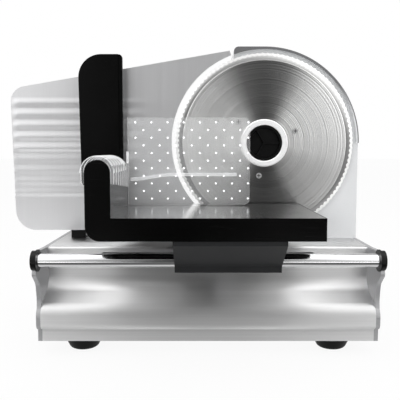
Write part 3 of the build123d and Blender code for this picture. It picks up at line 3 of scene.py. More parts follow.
import bmesh
import bpy
from bpy.props import FloatProperty, FloatVectorProperty, IntProperty, PointerProperty
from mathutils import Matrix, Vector


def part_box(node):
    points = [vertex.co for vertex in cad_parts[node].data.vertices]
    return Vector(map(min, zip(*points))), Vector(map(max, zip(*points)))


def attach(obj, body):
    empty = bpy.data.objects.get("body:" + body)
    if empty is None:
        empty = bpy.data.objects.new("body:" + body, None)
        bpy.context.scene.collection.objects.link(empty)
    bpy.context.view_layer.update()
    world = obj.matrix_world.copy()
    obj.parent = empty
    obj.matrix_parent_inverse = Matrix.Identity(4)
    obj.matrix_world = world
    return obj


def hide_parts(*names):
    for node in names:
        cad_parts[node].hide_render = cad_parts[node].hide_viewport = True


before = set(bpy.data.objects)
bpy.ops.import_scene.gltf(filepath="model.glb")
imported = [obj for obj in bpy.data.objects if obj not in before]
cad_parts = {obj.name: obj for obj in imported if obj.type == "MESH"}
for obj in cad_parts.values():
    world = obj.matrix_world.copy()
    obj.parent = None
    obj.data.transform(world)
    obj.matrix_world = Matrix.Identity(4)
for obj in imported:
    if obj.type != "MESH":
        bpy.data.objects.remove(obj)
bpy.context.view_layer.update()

bl_info = {
    "name": "Deli Meat Slicer",
    "version": (1, 0, 0),
    "blender": (4, 5, 0),
    "location": "3D View > Sidebar > Slicer",
    "description": "Models the outer pieces of a deli meat slicer and gives every piece its finish",
    "category": "Object",
}

MM = 0.001
CLOSE = 0.01 * MM       # two places nearer than this are the same


# ---- places taken from the frame ----
def middle(node):
    low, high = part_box(node)
    return (low + high) / 2


hub = middle("hub_ring")
blade_low, blade_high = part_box("blade_disc")
blade_r = (blade_high.x - blade_low.x) / 2
pusher_low, pusher_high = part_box("food_pusher")
tower_low, tower_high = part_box("tower_front")
tower_r = tower_high.z - hub.z


# ---- sizes that the frame doesn't give ----
GUIDE_LEAN = 4.0 * MM           # how far the guide plate's left edge leans in at its foot
GUIDE_CORNER_IN = 2.6 * MM      # from its right edge to its top corner
GUIDE_FALL = 39.5 * MM          # how far its top falls from right to left
GUIDE_LOW_ROUND = 21.0 * MM     # at its lower left corner
GUIDE_HIGH_ROUND = 14.0 * MM    # at its upper left corner
GUIDE_GAP = 3.8 * MM            # between its arc and the blade
GUIDE_EDGE = 0.5 * MM
GUIDE_RIB_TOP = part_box("guide_plate")[1].z - 53.9 * MM  # height of the highest rib
GUIDE_RIB_END = -42.0 * MM      # where the ribs end at their right
RIB_STEPS = 4                   # steps from a rib's foot to its crest
RIB_FADES = ((3 * MM, 0.0), (6 * MM, 0.55), (10 * MM, 1.0))     # from the left edge, the share of its height
RIB_LAST_FADES = ((-22 * MM, 1.0), (-11 * MM, 0.5), (0.0, 0.0))  # and from the ribs' right ends
BLADE_HOLE_R = 17.1 * MM        # radius of the hole in the blade
BLADE_PAINTED_SHADE = 0.07              # painted shade: how dark the blade's colour is painted where its painted light is weakest
TOOTH_STEPS = 6                 # points round the blade for each scallop
RIM_PAINTED_GREY = (0.17, 0.17, 0.175)  # painted reflection: the dark grey painted on the tower's rim, where it would reflect the dark
WALL_BITE = 2.0 * MM            # how far the tray's pocket runs in under the wall, which fills it
WALL_TOP = 0.49                 # share of the wall's width that each round of its top takes
RIM_SOFT = 0.38                 # share of the rim's thickness that its rounds may take
SADDLE_WIDTH = 28.6 * MM
SADDLE_LENGTH = 85.3 * MM
SADDLE_BAND_START = 0.8 * MM    # from the saddle's front end to its first band
SADDLE_BAND_PITCH = 14.0 * MM
SADDLE_BAND_WIDTH = 2.0 * MM
SADDLE_BAND_COUNT = 6
PUSHER_EDGE = 0.4 * MM
PUSHER_RIB_H = 32.6 * MM        # from the pusher's foot to its rib
PUSHER_RIB_DROP = 5.0 * MM      # how far the rib bends down at its left end
PUSHER_RIB_BEND = 45.0 * MM     # length of that bend
PUSHER_RIB_DEEP = 8.0 * MM      # how far the rib stands out of the plate
PUSHER_RIB_THICK = 3.0 * MM
PUSHER_RIB_SHORT = 14.0 * MM    # from the rib's right end to the plate's
SINK = 0.5 * MM                 # how far the rib runs into the plate
WEB_RISE = 7.0 * MM             # from the wall's top to the web's top
WEB_STEP = 6.0 * MM             # from the wall's round axis up to the web's long edge
WEB_HIGH = 12.0 * MM            # how far ahead of the plate the web is at its full height
WEB_FALL = 9.0 * MM             # how far the web's foot falls towards the plate
WEB_FALL_END = 6.0 * MM         # how far ahead of the plate that fall ends
STUD_FIRST_X = -52.0 * MM       # the lowest stud at the left
STUD_FIRST_UP = 6.0 * MM        # its height above the plate's foot
STUD_TOP_FREE = 4.0 * MM        # free of studs at the plate's top
STUD_ROUND = 0.3 * MM           # round at a stud's tip
STUD_TIP = 0.4                  # a stud's radius at its tip, as a share of its root's
STUD_SINK = 0.6 * MM            # how far a stud starts inside the sheet
FOOT_TAPER = 0.66               # a foot's radius at the table, as a share of its top's
FOOT_RINGS = (0.2, 0.16)        # widths of the two rings on its underside, as shares of its radius
FOOT_HOLLOW = 0.3               # share of its height that its underside is let in
DOUBLE = 1e-4 * MM              # points nearer than this are one
SMOOTH = 32                     # in degrees: flatter edges are shaded smooth
FLAT_WEIGHT = 70                # how far large faces set the normals of the rounds beside them


# ---- the stage ----
FLOOR_SIZE = 30.0
FLOOR_DROP = 0.2 * MM           # how far the floor lies under the feet
FLOOR_START = 0.2               # how far behind the machine's middle the floor's pattern starts


# ---- shader maths ----
class Value:
    """A shader socket that takes arithmetic, each step adding a Math node."""

    def __init__(self, finish, socket):
        self.finish = finish
        self.socket = socket

    def math(self, operation, *numbers):
        sockets = dict(enumerate((self, *numbers)))
        return self.finish.value(self.finish.node("ShaderNodeMath", {"operation": operation}, sockets))

    def __add__(self, other):
        return self.math("ADD", other)

    def __sub__(self, other):
        return self.math("SUBTRACT", other)

    def __mul__(self, other):
        return self.math("MULTIPLY", other)

    def __truediv__(self, other):
        return self.math("DIVIDE", other)

    def __pow__(self, other):
        return self.math("POWER", other)

    def __rsub__(self, other):
        return (self * -1) + other

    __radd__ = __add__
    __rmul__ = __mul__


class Finish:
    """A node tree that is being built, for a material or for the world."""

    def __init__(self, tree):
        self.tree = tree

    def node(self, kind, settings=(), sockets=()):
        """Adds a node: its settings first, then the values or links of its sockets."""
        made = self.tree.nodes.new(kind)
        for name, value in dict(settings).items():
            if name == "stops":
                self.fill_ramp(made.color_ramp, value)
            else:
                setattr(made, name, value)
        for key, value in dict(sockets).items():
            self.plug(made.inputs[key], value)
        return made

    def fill_ramp(self, ramp, stops):
        while len(ramp.elements) < len(stops):
            ramp.elements.new(1)
        for element, (place, shade) in zip(ramp.elements, stops):
            element.position = place
            element.color = (shade, shade, shade, 1) if isinstance(shade, (int, float)) else (*shade, 1)

    def plug(self, socket, value):
        if isinstance(value, Value):
            value = value.socket
        if isinstance(value, bpy.types.NodeSocket):
            self.tree.links.new(value, socket)
        elif socket.type == "RGBA" and len(value) == 3:
            socket.default_value = (*value, 1)
        else:
            socket.default_value = value

    def value(self, node, output=0):
        return Value(self, node.outputs[output])

    def place(self):
        """Where a point is on the machine, in metres."""
        return self.node("ShaderNodeTexCoord").outputs["Object"]

    def axes(self, vector=None):
        node = self.node("ShaderNodeSeparateXYZ", (), {0: vector or self.place()})
        return [self.value(node, k) for k in range(3)]

    def stretched(self, x, y, z):
        """The place, with each axis multiplied by its own number."""
        return self.node("ShaderNodeVectorMath", {"operation": "MULTIPLY"},
                         {0: self.place(), 1: (x, y, z)}).outputs[0]

    def joined(self, x, y, z):
        return self.node("ShaderNodeCombineXYZ", (), {0: x, 1: y, 2: z}).outputs[0]

    def noise(self, vector, scale, detail=2.0, roughness=0.5):
        return self.value(self.node("ShaderNodeTexNoise", (), {
            "Vector": vector, "Scale": scale, "Detail": detail, "Roughness": roughness}))

    def ramp(self, value, *stops):
        return self.value(self.node("ShaderNodeValToRGB", {"stops": stops}, {0: value}))

    def blend(self, factor, first, second):
        """A colour between two colours."""
        node = self.node("ShaderNodeMix", {"data_type": "RGBA"}, {0: factor, 6: first, 7: second})
        return node.outputs[2]

    def bump(self, height, distance):
        return self.node("ShaderNodeBump", (), {
            "Height": height, "Distance": distance, "Strength": 1.0}).outputs[0]


finishes = {}


class Surface(Finish):
    """A material whose Principled shader takes what it is given."""

    def __init__(self, name):
        self.material = bpy.data.materials.new(name)
        self.material.use_nodes = True
        finishes[name] = self.material
        super().__init__(self.material.node_tree)
        self.shader = self.tree.nodes["Principled BSDF"]
        self.out = self.tree.nodes["Material Output"]

    def wear(self, **sockets):
        """Sets the shader's sockets, written with underscores, and hands back the material."""
        for name, value in sockets.items():
            self.plug(self.shader.inputs[name.replace("_", " ")], value)
        return self.material


def shades(colour, spread):
    """A darker and a lighter neighbour of a colour."""
    return [tuple(max(0.0, min(1.0, c * (1 + k * spread))) for c in colour) for k in (-1, 1)]


# ---- finishes ----
def brushed(name, colour, roughness, along, spread=0.06, depth=4e-6, metallic=1.0, **more):
    """Sheet or bar metal with fine straight brushing along one axis."""
    s = Surface(name)
    fine = s.noise(s.stretched(*[9 if a == along else 1600 for a in "xyz"]), 1, 3, 0.6)
    broad = s.noise(s.stretched(*[5 if a == along else 210 for a in "xyz"]), 1, 2)
    cloud = s.noise(s.place(), 14, 3)
    tone = fine * 0.5 + broad * 0.3 + cloud * 0.2
    dark, light = shades(colour, spread)
    return s.wear(
        Base_Color=s.blend(s.ramp(tone, (0.3, 0.0), (0.7, 1.0)), dark, light),
        Metallic=metallic,
        Roughness=(fine * 0.10 + broad * 0.06 + cloud * 0.06) + (roughness - 0.11),
        Normal=s.bump(fine, depth),
        **more,
    )


def painted(name, colour, roughness, metallic=0.35, flake=0.05, painted_dark_rim=False):
    """Silver paint: fine flake under a satin coat; when told to, a painted dark reflection on the rim round
    the blade, along the tower's outer edge and down its right edge.
    """
    s = Surface(name)
    flakes = s.noise(s.place(), 2600, 2, 0.7)
    cloud = s.noise(s.place(), 22, 3)
    dark, light = shades(colour, flake)
    paint = s.blend(s.ramp(flakes * 0.7 + cloud * 0.3, (0.35, 0.0), (0.65, 1.0)), dark, light)
    if painted_dark_rim:
        # Painted reflection: on the front face, the rim round the blade above the hub and thin lines along
        # the outer and right edges are painted grey, standing in for the dark that the rounded rim reflects.
        x, y, z = s.axes()
        radius = ((x - hub.x) ** 2 + (z - hub.z) ** 2) ** 0.5
        face = s.ramp((y - tower_low.y) * 100, (0.05, 1.0), (0.09, 0.0))
        above = s.ramp((z - hub.z) * 10, (0.25, 0.0), (0.60, 1.0))
        line = s.ramp((tower_r - radius) * 100, (0.08, 1.0), (0.16, 0.0))
        corner = s.ramp((tower_high.x - x) * 100, (0.08, 1.0), (0.16, 0.0))
        rim = face * s.ramp((radius - blade_r) * 100, (0.0, 0.0), (0.05, 1.0)) * above
        rim = rim.math("MAXIMUM", line.math("MAXIMUM", corner) * face)
        paint = s.blend(rim, paint, RIM_PAINTED_GREY)
    return s.wear(
        Base_Color=paint,
        Metallic=metallic,
        Roughness=flakes * 0.08 + cloud * 0.06 + (roughness - 0.07),
        Coat_Weight=0.15,
        Normal=s.bump(flakes, 6e-6),
    )


def moulded(name, colour, roughness, grain=1100, depth=1.2e-5, spread=0.2, **more):
    """Moulded plastic or rubber with a fine spark grain and handling marks."""
    s = Surface(name)
    pits = s.noise(s.place(), grain, 4, 0.6)
    cloud = s.noise(s.place(), 30, 4)
    dark, light = shades(colour, spread)
    return s.wear(
        Base_Color=s.blend(s.ramp(pits * 0.5 + cloud * 0.5, (0.3, 0.0), (0.7, 1.0)), dark, light),
        Roughness=pits * 0.10 + cloud * 0.12 + (roughness - 0.11),
        Normal=s.bump(pits, depth),
        **more,
    )


def glossy(name, colour, roughness):
    """Black moulding polished in its tool: a slow ripple, hairline scratches and light dust."""
    s = Surface(name)
    ripple = s.noise(s.place(), 45, 2)
    hair = s.noise(s.stretched(40, 900, 1500), 1, 3, 0.7)
    cloud = s.noise(s.place(), 18, 4)
    dark, light = shades(colour, 0.25)
    return s.wear(
        Base_Color=s.blend(s.ramp(cloud, (0.35, 0.0), (0.65, 1.0)), dark, light),
        Roughness=s.ramp(hair, (0.55, 0.0), (0.75, 0.14)) + cloud * 0.06 + (roughness - 0.03),
        Specular_IOR_Level=0.14,
        Normal=s.bump(ripple * 0.8 + hair * 0.02, 4e-5),
    )


def turned_steel(name, colour, roughness, teeth):
    """The blade: rings about its axis, a painted fan of light, painted shade on its grey bevel and a painted
    highlight on its white scalloped edge.
    """
    s = Surface(name)
    x, y, z = s.axes()
    dx, dz = x - hub.x, z - hub.z
    radius = (dx * dx + dz * dz) ** 0.5
    rings = s.noise(s.joined(radius * 700, 0.0, 0.0), 1, 3, 0.6)
    bands = s.noise(s.joined(radius * 330, 0.5, 0.0), 1, 2)
    cloud = s.noise(s.place(), 26, 3)
    tone = rings * 0.4 + bands * 0.4 + cloud * 0.2
    rise = dz / radius * 0.5 + 0.5
    # Painted light: a fan of light, bright left and right of the hub and dim above and below it, painted into
    # the colour by angle about the axis, so it turns with the blade.
    painted_fan = s.ramp((dx / radius) ** 2, (0.0, 0.10), (0.10, 0.22), (0.30, 0.75), (0.5, 1.0)) * s.ramp(
        rise, (0.13, 0.55), (0.42, 1.0), (0.55, 1.2), (0.75, 1.2), (0.85, 1.0))
    ground = s.ramp(radius * 10, (0.868, 0.0), (0.872, 1.0))
    wave = (dz.math("ARCTAN2", dx) * (teeth / 2)).math("SINE").math("ABSOLUTE")
    # Painted highlight: the scalloped band at the blade's edge is painted white and made less metallic.
    edge = s.ramp(radius * 10 + wave * 0.014, (0.922, 0.0), (0.926, 1.0))
    # Painted shade: the ground bevel is painted darker low down and lighter towards its top.
    bevel = ground * s.ramp(rise, (0.55, 0.25), (0.95, 0.95))
    # All the blade's painted light and painted shade together; the colour runs from a painted dark up to the
    # steel's own colour by it.
    painted_sheen = (painted_fan * (tone * 0.5 + 0.75) * (1 - ground) + bevel).math("MAXIMUM", edge * 1.1)
    return s.wear(
        Base_Color=s.blend(painted_sheen, tuple(c * BLADE_PAINTED_SHADE for c in colour), colour),
        Metallic=1 - edge * 0.6,
        Roughness=rings * 0.1 + bands * 0.08 + (roughness - 0.09),
        Normal=s.bump(rings * (1 - ground), 3e-4),
    )


def screw_heads(name, colour, face):
    """Screw steel with painted shade below the heads' face, in the crossed recess and round the head."""
    s = Surface(name)
    x, y, z = s.axes()
    fine = s.noise(s.place(), 900, 3)
    # Painted shade: the colour is darker the deeper a point lies behind the heads' face.
    painted_recess_shade = s.ramp((y - face) * 1000, (0.25, 0.0), (0.55, 1.0))
    dark = tuple(c * 0.06 for c in colour)
    return s.wear(
        Base_Color=s.blend(painted_recess_shade, colour, dark),
        Metallic=1.0,
        Roughness=fine * 0.2 + 0.25,
        Normal=s.bump(fine, 4e-6),
    )


def clear(name, colour, stud_length, sheet):
    """Clear plastic: whiter where it is seen edge on, with real scuffs, and painted highlights on the studs,
    the rib and the saddle's bands, which are made more opaque and glow.
    """
    s = Surface(name)
    x, y, z = s.axes()
    back = pusher_high.y - stud_length
    ripple = s.noise(s.place(), 60, 2)
    scuffs = s.noise(s.stretched(300, 900, 1300), 1, 3, 0.7)
    edge_on = s.value(s.node("ShaderNodeLayerWeight", (), {0: 0.35}), 1)
    stud = s.ramp((y - back) * 100, (0.05, 0.0), (0.30, 1.0))
    ahead = s.ramp((back - sheet - y) * 100, (0.0, 0.0), (0.05, 1.0))
    saddle = s.ramp((pusher_low.x + SADDLE_WIDTH - x) * 100, (0.0, 0.0), (0.05, 1.0)) * ahead
    place = ((y - (pusher_low.y + SADDLE_BAND_START / 2)) / SADDLE_BAND_PITCH).math("FRACT")
    band = s.ramp(place, (0.0, 0.0), (0.03, 1.0), (0.13, 1.0), (0.17, 0.0)) * saddle
    rib = ahead * (1 - saddle)
    # Painted highlight: the studs, the saddle's bands and the rib are made more opaque, beside the real
    # scuffs.
    marks = stud * 0.6 + band * 0.5 + rib * 0.3 + s.ramp(scuffs, (0.55, 0.0), (0.8, 0.06))
    return s.wear(
        Base_Color=s.blend(scuffs, colour, (0.99, 0.99, 0.99)),
        Roughness=s.ramp(scuffs, (0.5, 0.05), (0.8, 0.14)),
        Alpha=edge_on ** 2 * (0.75 - saddle * 0.7) + marks + 0.10,
        # Painted highlight: the studs, the bands and the rib glow, standing in for light caught in the clear
        # plastic.
        Emission_Color=s.blend(stud * 0.7 + band * 0.5 + rib * 0.5, (0.0, 0.0, 0.0), colour),
        Emission_Strength=0.55,
        Normal=s.bump(ripple, 6e-5),
    )


def dress(finish, *nodes):
    """Gives frame nodes a finish."""
    for name in nodes:
        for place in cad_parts[name].material_slots:
            place.material = finishes[finish]


# ---- modelling ----
TURNED = {"x": (0, math.pi / 2, 0), "y": (math.pi / 2, 0, 0), "z": (0, 0, 0)}


def alone(piece=None):
    """Leaves edit mode, with nothing selected but one piece."""
    if bpy.context.object and bpy.context.object.mode != "OBJECT":
        bpy.ops.object.mode_set(mode="OBJECT")
    bpy.ops.object.select_all(action="DESELECT")
    if piece:
        piece.select_set(True)
        bpy.context.view_layer.objects.active = piece


def settled(name):
    """Names a new primitive and moves its place into its mesh."""
    piece = bpy.context.object
    piece.name = name
    bpy.ops.object.transform_apply(location=True, rotation=True, scale=True)
    return piece


def block(name, low, high):
    alone()
    low, high = Vector(low), Vector(high)
    bpy.ops.mesh.primitive_cube_add(size=1, location=(low + high) / 2, scale=high - low)
    return settled(name)


def post(name, at, radius, length, axis, sides=64):
    """A round bar along one axis, with its middle at a place."""
    alone()
    bpy.ops.mesh.primitive_cylinder_add(vertices=sides, radius=radius, depth=length, location=at,
                                        rotation=TURNED[axis])
    return settled(name)


def choose(piece, kind, test):
    """Selects in edit mode the faces, edges or points whose place and direction pass a test."""
    if piece.mode != "EDIT":
        alone(piece)
        bpy.ops.object.mode_set(mode="EDIT")
    bpy.ops.mesh.select_mode(type=kind)
    bpy.ops.mesh.select_all(action="DESELECT")
    mesh = bmesh.from_edit_mesh(piece.data)
    mesh.normal_update()
    if kind == "FACE":
        chosen = [f for f in mesh.faces if test(f.calc_center_median(), f.normal)]
    elif kind == "EDGE":
        chosen = []
        for e in mesh.edges:
            start, end = e.verts[0].co, e.verts[1].co
            if test((start + end) / 2, (end - start).normalized()):
                chosen.append(e)
    else:
        chosen = [v for v in mesh.verts if test(v.co, v.normal)]
    if not chosen:
        raise RuntimeError(f"nothing to select on {piece.name}")
    for part in chosen:
        part.select_set(True)
    mesh.select_flush_mode()
    bmesh.update_edit_mesh(piece.data)


def whole(at, way):
    """The test for choose() that everything passes."""
    return True


def extrude(*move):
    bpy.ops.mesh.extrude_region_move(TRANSFORM_OT_translate={"value": move})


def swell(distance):
    """Extrudes the chosen faces along their normals."""
    bpy.ops.mesh.extrude_region_shrink_fatten(TRANSFORM_OT_shrink_fatten={"value": distance})


def cut(piece, at, way, drop=False):
    """Cuts a piece along a plane, and drops what lies beyond it when told to."""
    choose(piece, "FACE", whole)
    bpy.ops.mesh.bisect(plane_co=at, plane_no=way, use_fill=drop, clear_outer=drop)


def round_edges(piece, radius, segments, test):
    choose(piece, "EDGE", test)
    bpy.ops.mesh.bevel(offset=radius, segments=segments, affect="EDGES")


def use(piece, kind, **settings):
    """Adds a modifier and applies it."""
    alone(piece)
    bpy.ops.object.modifier_add(type=kind)
    change = piece.modifiers[-1]
    for name, value in settings.items():
        setattr(change, name, value)
    bpy.ops.object.modifier_apply(modifier=change.name)


def join(piece, other):
    use(piece, "BOOLEAN", operation="UNION", solver="EXACT", object=other)
    bpy.data.objects.remove(other)


def carve(piece, other):
    use(piece, "BOOLEAN", operation="DIFFERENCE", solver="EXACT", object=other)
    bpy.data.objects.remove(other)


def soften(piece, radius, segments=3, angle=38):
    """Rounds every sharp edge that is left."""
    use(piece, "BEVEL", width=radius, segments=segments, limit_method="ANGLE",
        angle_limit=math.radians(angle))


def complete(piece, body, slot, *nodes):
    """Turns the faces outward, shades them, ties the piece to its body and its finish, and hides the frame
    nodes it stands in for.
    """
    choose(piece, "FACE", whole)
    bpy.ops.mesh.remove_doubles(threshold=DOUBLE)
    bpy.ops.mesh.normals_make_consistent(inside=False)
    alone(piece)
    bpy.ops.object.shade_smooth_by_angle(angle=math.radians(SMOOTH))
    use(piece, "WEIGHTED_NORMAL", weight=FLAT_WEIGHT, keep_sharp=True)
    piece.data.materials.clear()
    piece.data.materials.append(finishes[slot])
    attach(piece, body)
    if nodes:
        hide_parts(*nodes)


# ---- sizes and colours a user may change ----
def tint(label, *rgb):
    return FloatVectorProperty(name=label, description=f"Colour of the {label.lower()}", subtype="COLOR",
                               size=3, min=0, max=1, default=rgb)


def length(label, description, millimetres):
    return FloatProperty(name=label, description=description, default=millimetres * MM, min=0, unit="LENGTH",
                         precision=5)


class SlicerSizes(bpy.types.PropertyGroup):
    edge: length("Edge", "Round on the edges of the mouldings", 0.8)
    skin: length("Skin", "Wall of the black mouldings", 2.6)
    sheet: length("Sheet", "Thickness of the tray plate and of the rim round it", 1.2)
    apron_corner: length("Apron corner", "Round at the carriage's lower left corner", 12.4)
    shield_corner: length("Shield corner", "Large round of the hand shield", 24.0)
    shield_small: length("Shield small corner", "Small rounds of the hand shield", 5.0)
    shield_taper: length("Shield taper", "How far the shield's left edge leans in at its foot", 2.2)
    wing: length("Shield wing", "Height of the shield's wing above the tray", 19.3)
    flange: length("Shield flange", "Width of the step down the shield's right edge", 4.2)
    flange_step: length("Flange step", "How far the step lies behind the shield's face", 1.6)
    pusher_sheet: length("Pusher sheet", "Thickness of the clear pusher", 2.5)
    pusher_corner: length("Pusher corner", "Round at the pusher's corners", 6.0)
    saddle_leg: length("Saddle leg", "How far the saddle's left side reaches down", 9.0)
    saddle_band: length("Saddle band", "Height of the bands round the saddle", 0.7)
    stud_across: length("Stud pitch", "Between studs in a row", 16.5)
    stud_up: length("Stud rows", "Between rows of studs", 7.8)
    stud_length: length("Stud length", "From the pusher's back to a stud's tip", 6.5)
    stud_radius: length("Stud radius", "Radius at a stud's root", 1.25)
    rib_pitch: length("Rib pitch", "Between the guide plate's ribs", 11.96)
    rib_height: length("Rib height", "How far the ribs stand proud", 0.6)
    rib_half: length("Rib half width", "Half the width of a rib", 5.8)
    ribs: IntProperty(name="Ribs", description="Number of ribs on the guide plate", default=9, min=1)
    blade_bevel: length("Blade bevel", "Width of the blade's ground bevel", 7.2)
    blade_teeth_band: length("Tooth band", "Width of the scalloped band at the blade's edge", 3.4)
    tooth_depth: length("Tooth depth", "Depth of a scallop", 0.9)
    blade_edge: length("Blade edge", "Thickness at the blade's edge", 0.35)
    teeth: IntProperty(name="Teeth", description="Number of scallops round the blade", default=110, min=8)


class SlicerColours(bpy.types.PropertyGroup):
    sheet: tint("Brushed base sheet", 0.86, 0.86, 0.86)
    housing: tint("Silver housing", 0.80, 0.81, 0.82)
    casting: tint("End plates", 0.42, 0.42, 0.43)
    plate: tint("Guide plate", 0.82, 0.82, 0.83)
    blade: tint("Blade steel", 0.97, 0.97, 0.96)
    ring: tint("Hub ring", 0.93, 0.93, 0.93)
    black: tint("Black mouldings", 0.002, 0.002, 0.002)
    bracket: tint("Grey bracket", 0.016, 0.0165, 0.0175)
    tray: tint("Tray plate", 0.62, 0.62, 0.62)
    rod: tint("Chrome rod", 0.88, 0.88, 0.89)
    pusher: tint("Clear pusher", 0.96, 0.97, 0.98)
    foot: tint("Rubber feet", 0.003, 0.003, 0.003)


class SlicerStage(bpy.types.PropertyGroup):
    lens: FloatProperty(name="Lens", description="Focal length of the camera",
                        default=50.0, min=10, unit="CAMERA")
    away: FloatProperty(name="Distance", description="From the camera to the blade's face",
                        default=0.5957, unit="LENGTH")
    aside: FloatProperty(name="Aside", description="How far the camera is left of the base's middle",
                         default=0.0077, unit="LENGTH")
    height: FloatProperty(name="Height", description="Height of the camera above the table",
                          default=0.1932, unit="LENGTH")
    down: FloatProperty(name="Down", description="How far the camera looks down",
                        default=math.radians(4.94), subtype="ANGLE")


class SLICER_OT_finishes(bpy.types.Operator):
    """Makes the finishes, one for each material slot"""
    bl_idname = "slicer.finishes"
    bl_label = "Finishes"

    def execute(self, context):
        s, c = context.scene.slicer_sizes, context.scene.slicer_colours
        brushed("brushed_steel", tuple(c.sheet), 0.52, "x", Anisotropic=0.9, Anisotropic_Rotation=0.25)
        painted("cast_aluminium", tuple(c.casting), 0.42, 0.6)
        painted("silver_housing", tuple(c.housing), 0.38, painted_dark_rim=True)
        brushed("satin_aluminium", tuple(c.plate), 0.33, "z", 0.03, 1.5e-6, 0.85)
        turned_steel("blade_steel", tuple(c.blade), 0.3, s.teeth)
        brushed("hub_metal", tuple(c.ring), 0.4, "x", metallic=0.3)
        glossy("black_gloss", tuple(c.black), 0.16)
        moulded("grey_bracket", tuple(c.bracket), 0.42, Specular_IOR_Level=0.2)
        brushed("mirror_steel", tuple(c.tray), 0.14, "y", 0.03)
        brushed("chrome_rod", tuple(c.rod), 0.13, "x", 0.03)
        moulded("rubber", tuple(c.foot), 0.45, 900, Specular_IOR_Level=0.15)
        clear("clear_plastic", tuple(c.pusher), s.stud_length, s.pusher_sheet)
        brushed("plain_steel", (0.50, 0.50, 0.52), 0.38, "x")
        brushed("screw_steel", (0.45, 0.45, 0.46), 0.34, "y")
        screw_heads("blade_screw_steel", (0.75, 0.75, 0.75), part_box("blade_screws")[0].y)
        brushed("motor_steel", (0.42, 0.42, 0.44), 0.42, "y")
        brushed("bronze", (0.55, 0.38, 0.20), 0.4, "y")
        brushed("copper", (0.80, 0.38, 0.22), 0.35, "y", 0.15)
        brushed("pinion_brass", (0.75, 0.58, 0.28), 0.32, "y")
        moulded("magnet_ferrite", (0.05, 0.05, 0.055), 0.7, 900)
        moulded("carbon", (0.03, 0.03, 0.03), 0.6, 1400)
        moulded("white_nylon", (0.82, 0.81, 0.78), 0.45, 700, spread=0.04)
        moulded("board_green", (0.02, 0.16, 0.06), 0.4, 500)
        moulded("lead_rubber", (0.02, 0.02, 0.02), 0.6, 800)
        moulded("black_plastic", (0.003, 0.003, 0.003), 0.32, Specular_IOR_Level=0.2)
        return {"FINISHED"}


class SLICER_OT_inner_pieces(bpy.types.Operator):
    """Gives the pieces inside the tower and the base their finishes"""
    bl_idname = "slicer.inner_pieces"
    bl_label = "Inner pieces"

    def execute(self, context):
        dress("plain_steel", "base_pan", "drive_plate", "blade_spindle", "idler_pin", "motor_shaft",
              "guide_runners", "cam_pin", "guide_tongue")
        dress("screw_steel", "foot_screws", "end_screws", "deck_screws", "cover_screws", "drive_screws",
              "guide_screws", "carriage_screws")
        dress("blade_screw_steel", "blade_screws")
        dress("motor_steel", "motor_can", "armature_core")
        dress("bronze", "blade_bush", "rod_bushes", "motor_bushes")
        dress("copper", "armature_windings", "commutator")
        dress("pinion_brass", "motor_pinion")
        dress("magnet_ferrite", "motor_magnets")
        dress("carbon", "motor_brushes")
        dress("white_nylon", "idler_gear", "thickness_cam")
        dress("board_green", "control_board")
        dress("lead_rubber", "inner_leads")
        dress("rubber", "cord_gland")
        dress("black_plastic", "blade_gear", "motor_end_cap")
        return {"FINISHED"}


class SLICER_OT_body(bpy.types.Operator):
    """Gives the base, the tower and the small pieces on them their finishes"""
    bl_idname = "slicer.body"
    bl_label = "Base and tower"

    def execute(self, context):
        dress("brushed_steel", "base_shell")
        dress("cast_aluminium", "left_end_plate", "right_end_plate", "guide_bracket")
        dress("silver_housing", "tower_front", "tower_rear", "guide_support")
        dress("hub_metal", "hub_ring")
        dress("grey_bracket", "slider_bracket")
        dress("mirror_steel", "tray_plate")
        dress("chrome_rod", "slide_rod", "guide_rail")
        dress("black_plastic", "rod_caps", "blade_lock", "guide_foot", "thickness_knob", "switch_body",
              "switch_rocker")
        return {"FINISHED"}


class SLICER_OT_carriage(bpy.types.Operator):
    """Models the black carriage, with the round-topped wall that the pusher rides on"""
    bl_idname = "slicer.carriage"
    bl_label = "Carriage"

    def execute(self, context):
        s = context.scene.slicer_sizes
        low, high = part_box("carriage_frame")
        tray_low, tray_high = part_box("tray_plate")
        shield_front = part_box("hand_shield")[0].y
        top, wall_right = tray_high.z, tray_low.x
        clearance = 10 * MM
        piece = block("carriage_moulding", low, (high.x, high.y, top))
        round_edges(piece, s.apron_corner, 12,
                    lambda at, way: abs(way.y) > 0.9 and at.x < low.x + MM and at.z < low.z + MM)
        carve(piece, block("pocket", (wall_right - WALL_BITE, low.y + s.sheet, top - s.sheet),
                           (high.x - s.sheet, high.y + clearance, top + clearance)))
        wall = block("wall", (low.x, low.y, low.z + s.apron_corner), (wall_right, shield_front, high.z))
        round_edges(wall, (wall_right - low.x) * WALL_TOP, 14,
                    lambda at, way: abs(way.y) > 0.9 and at.z > high.z - MM)
        join(piece, wall)
        carve(piece, block("hollow", (low.x + s.apron_corner, low.y + s.skin, low.z - clearance),
                           (high.x - s.skin, high.y - s.skin, top - s.sheet - s.skin)))
        soften(piece, min(s.edge, s.sheet * RIM_SOFT))
        complete(piece, "carriage", "black_gloss", "carriage_frame")
        return {"FINISHED"}


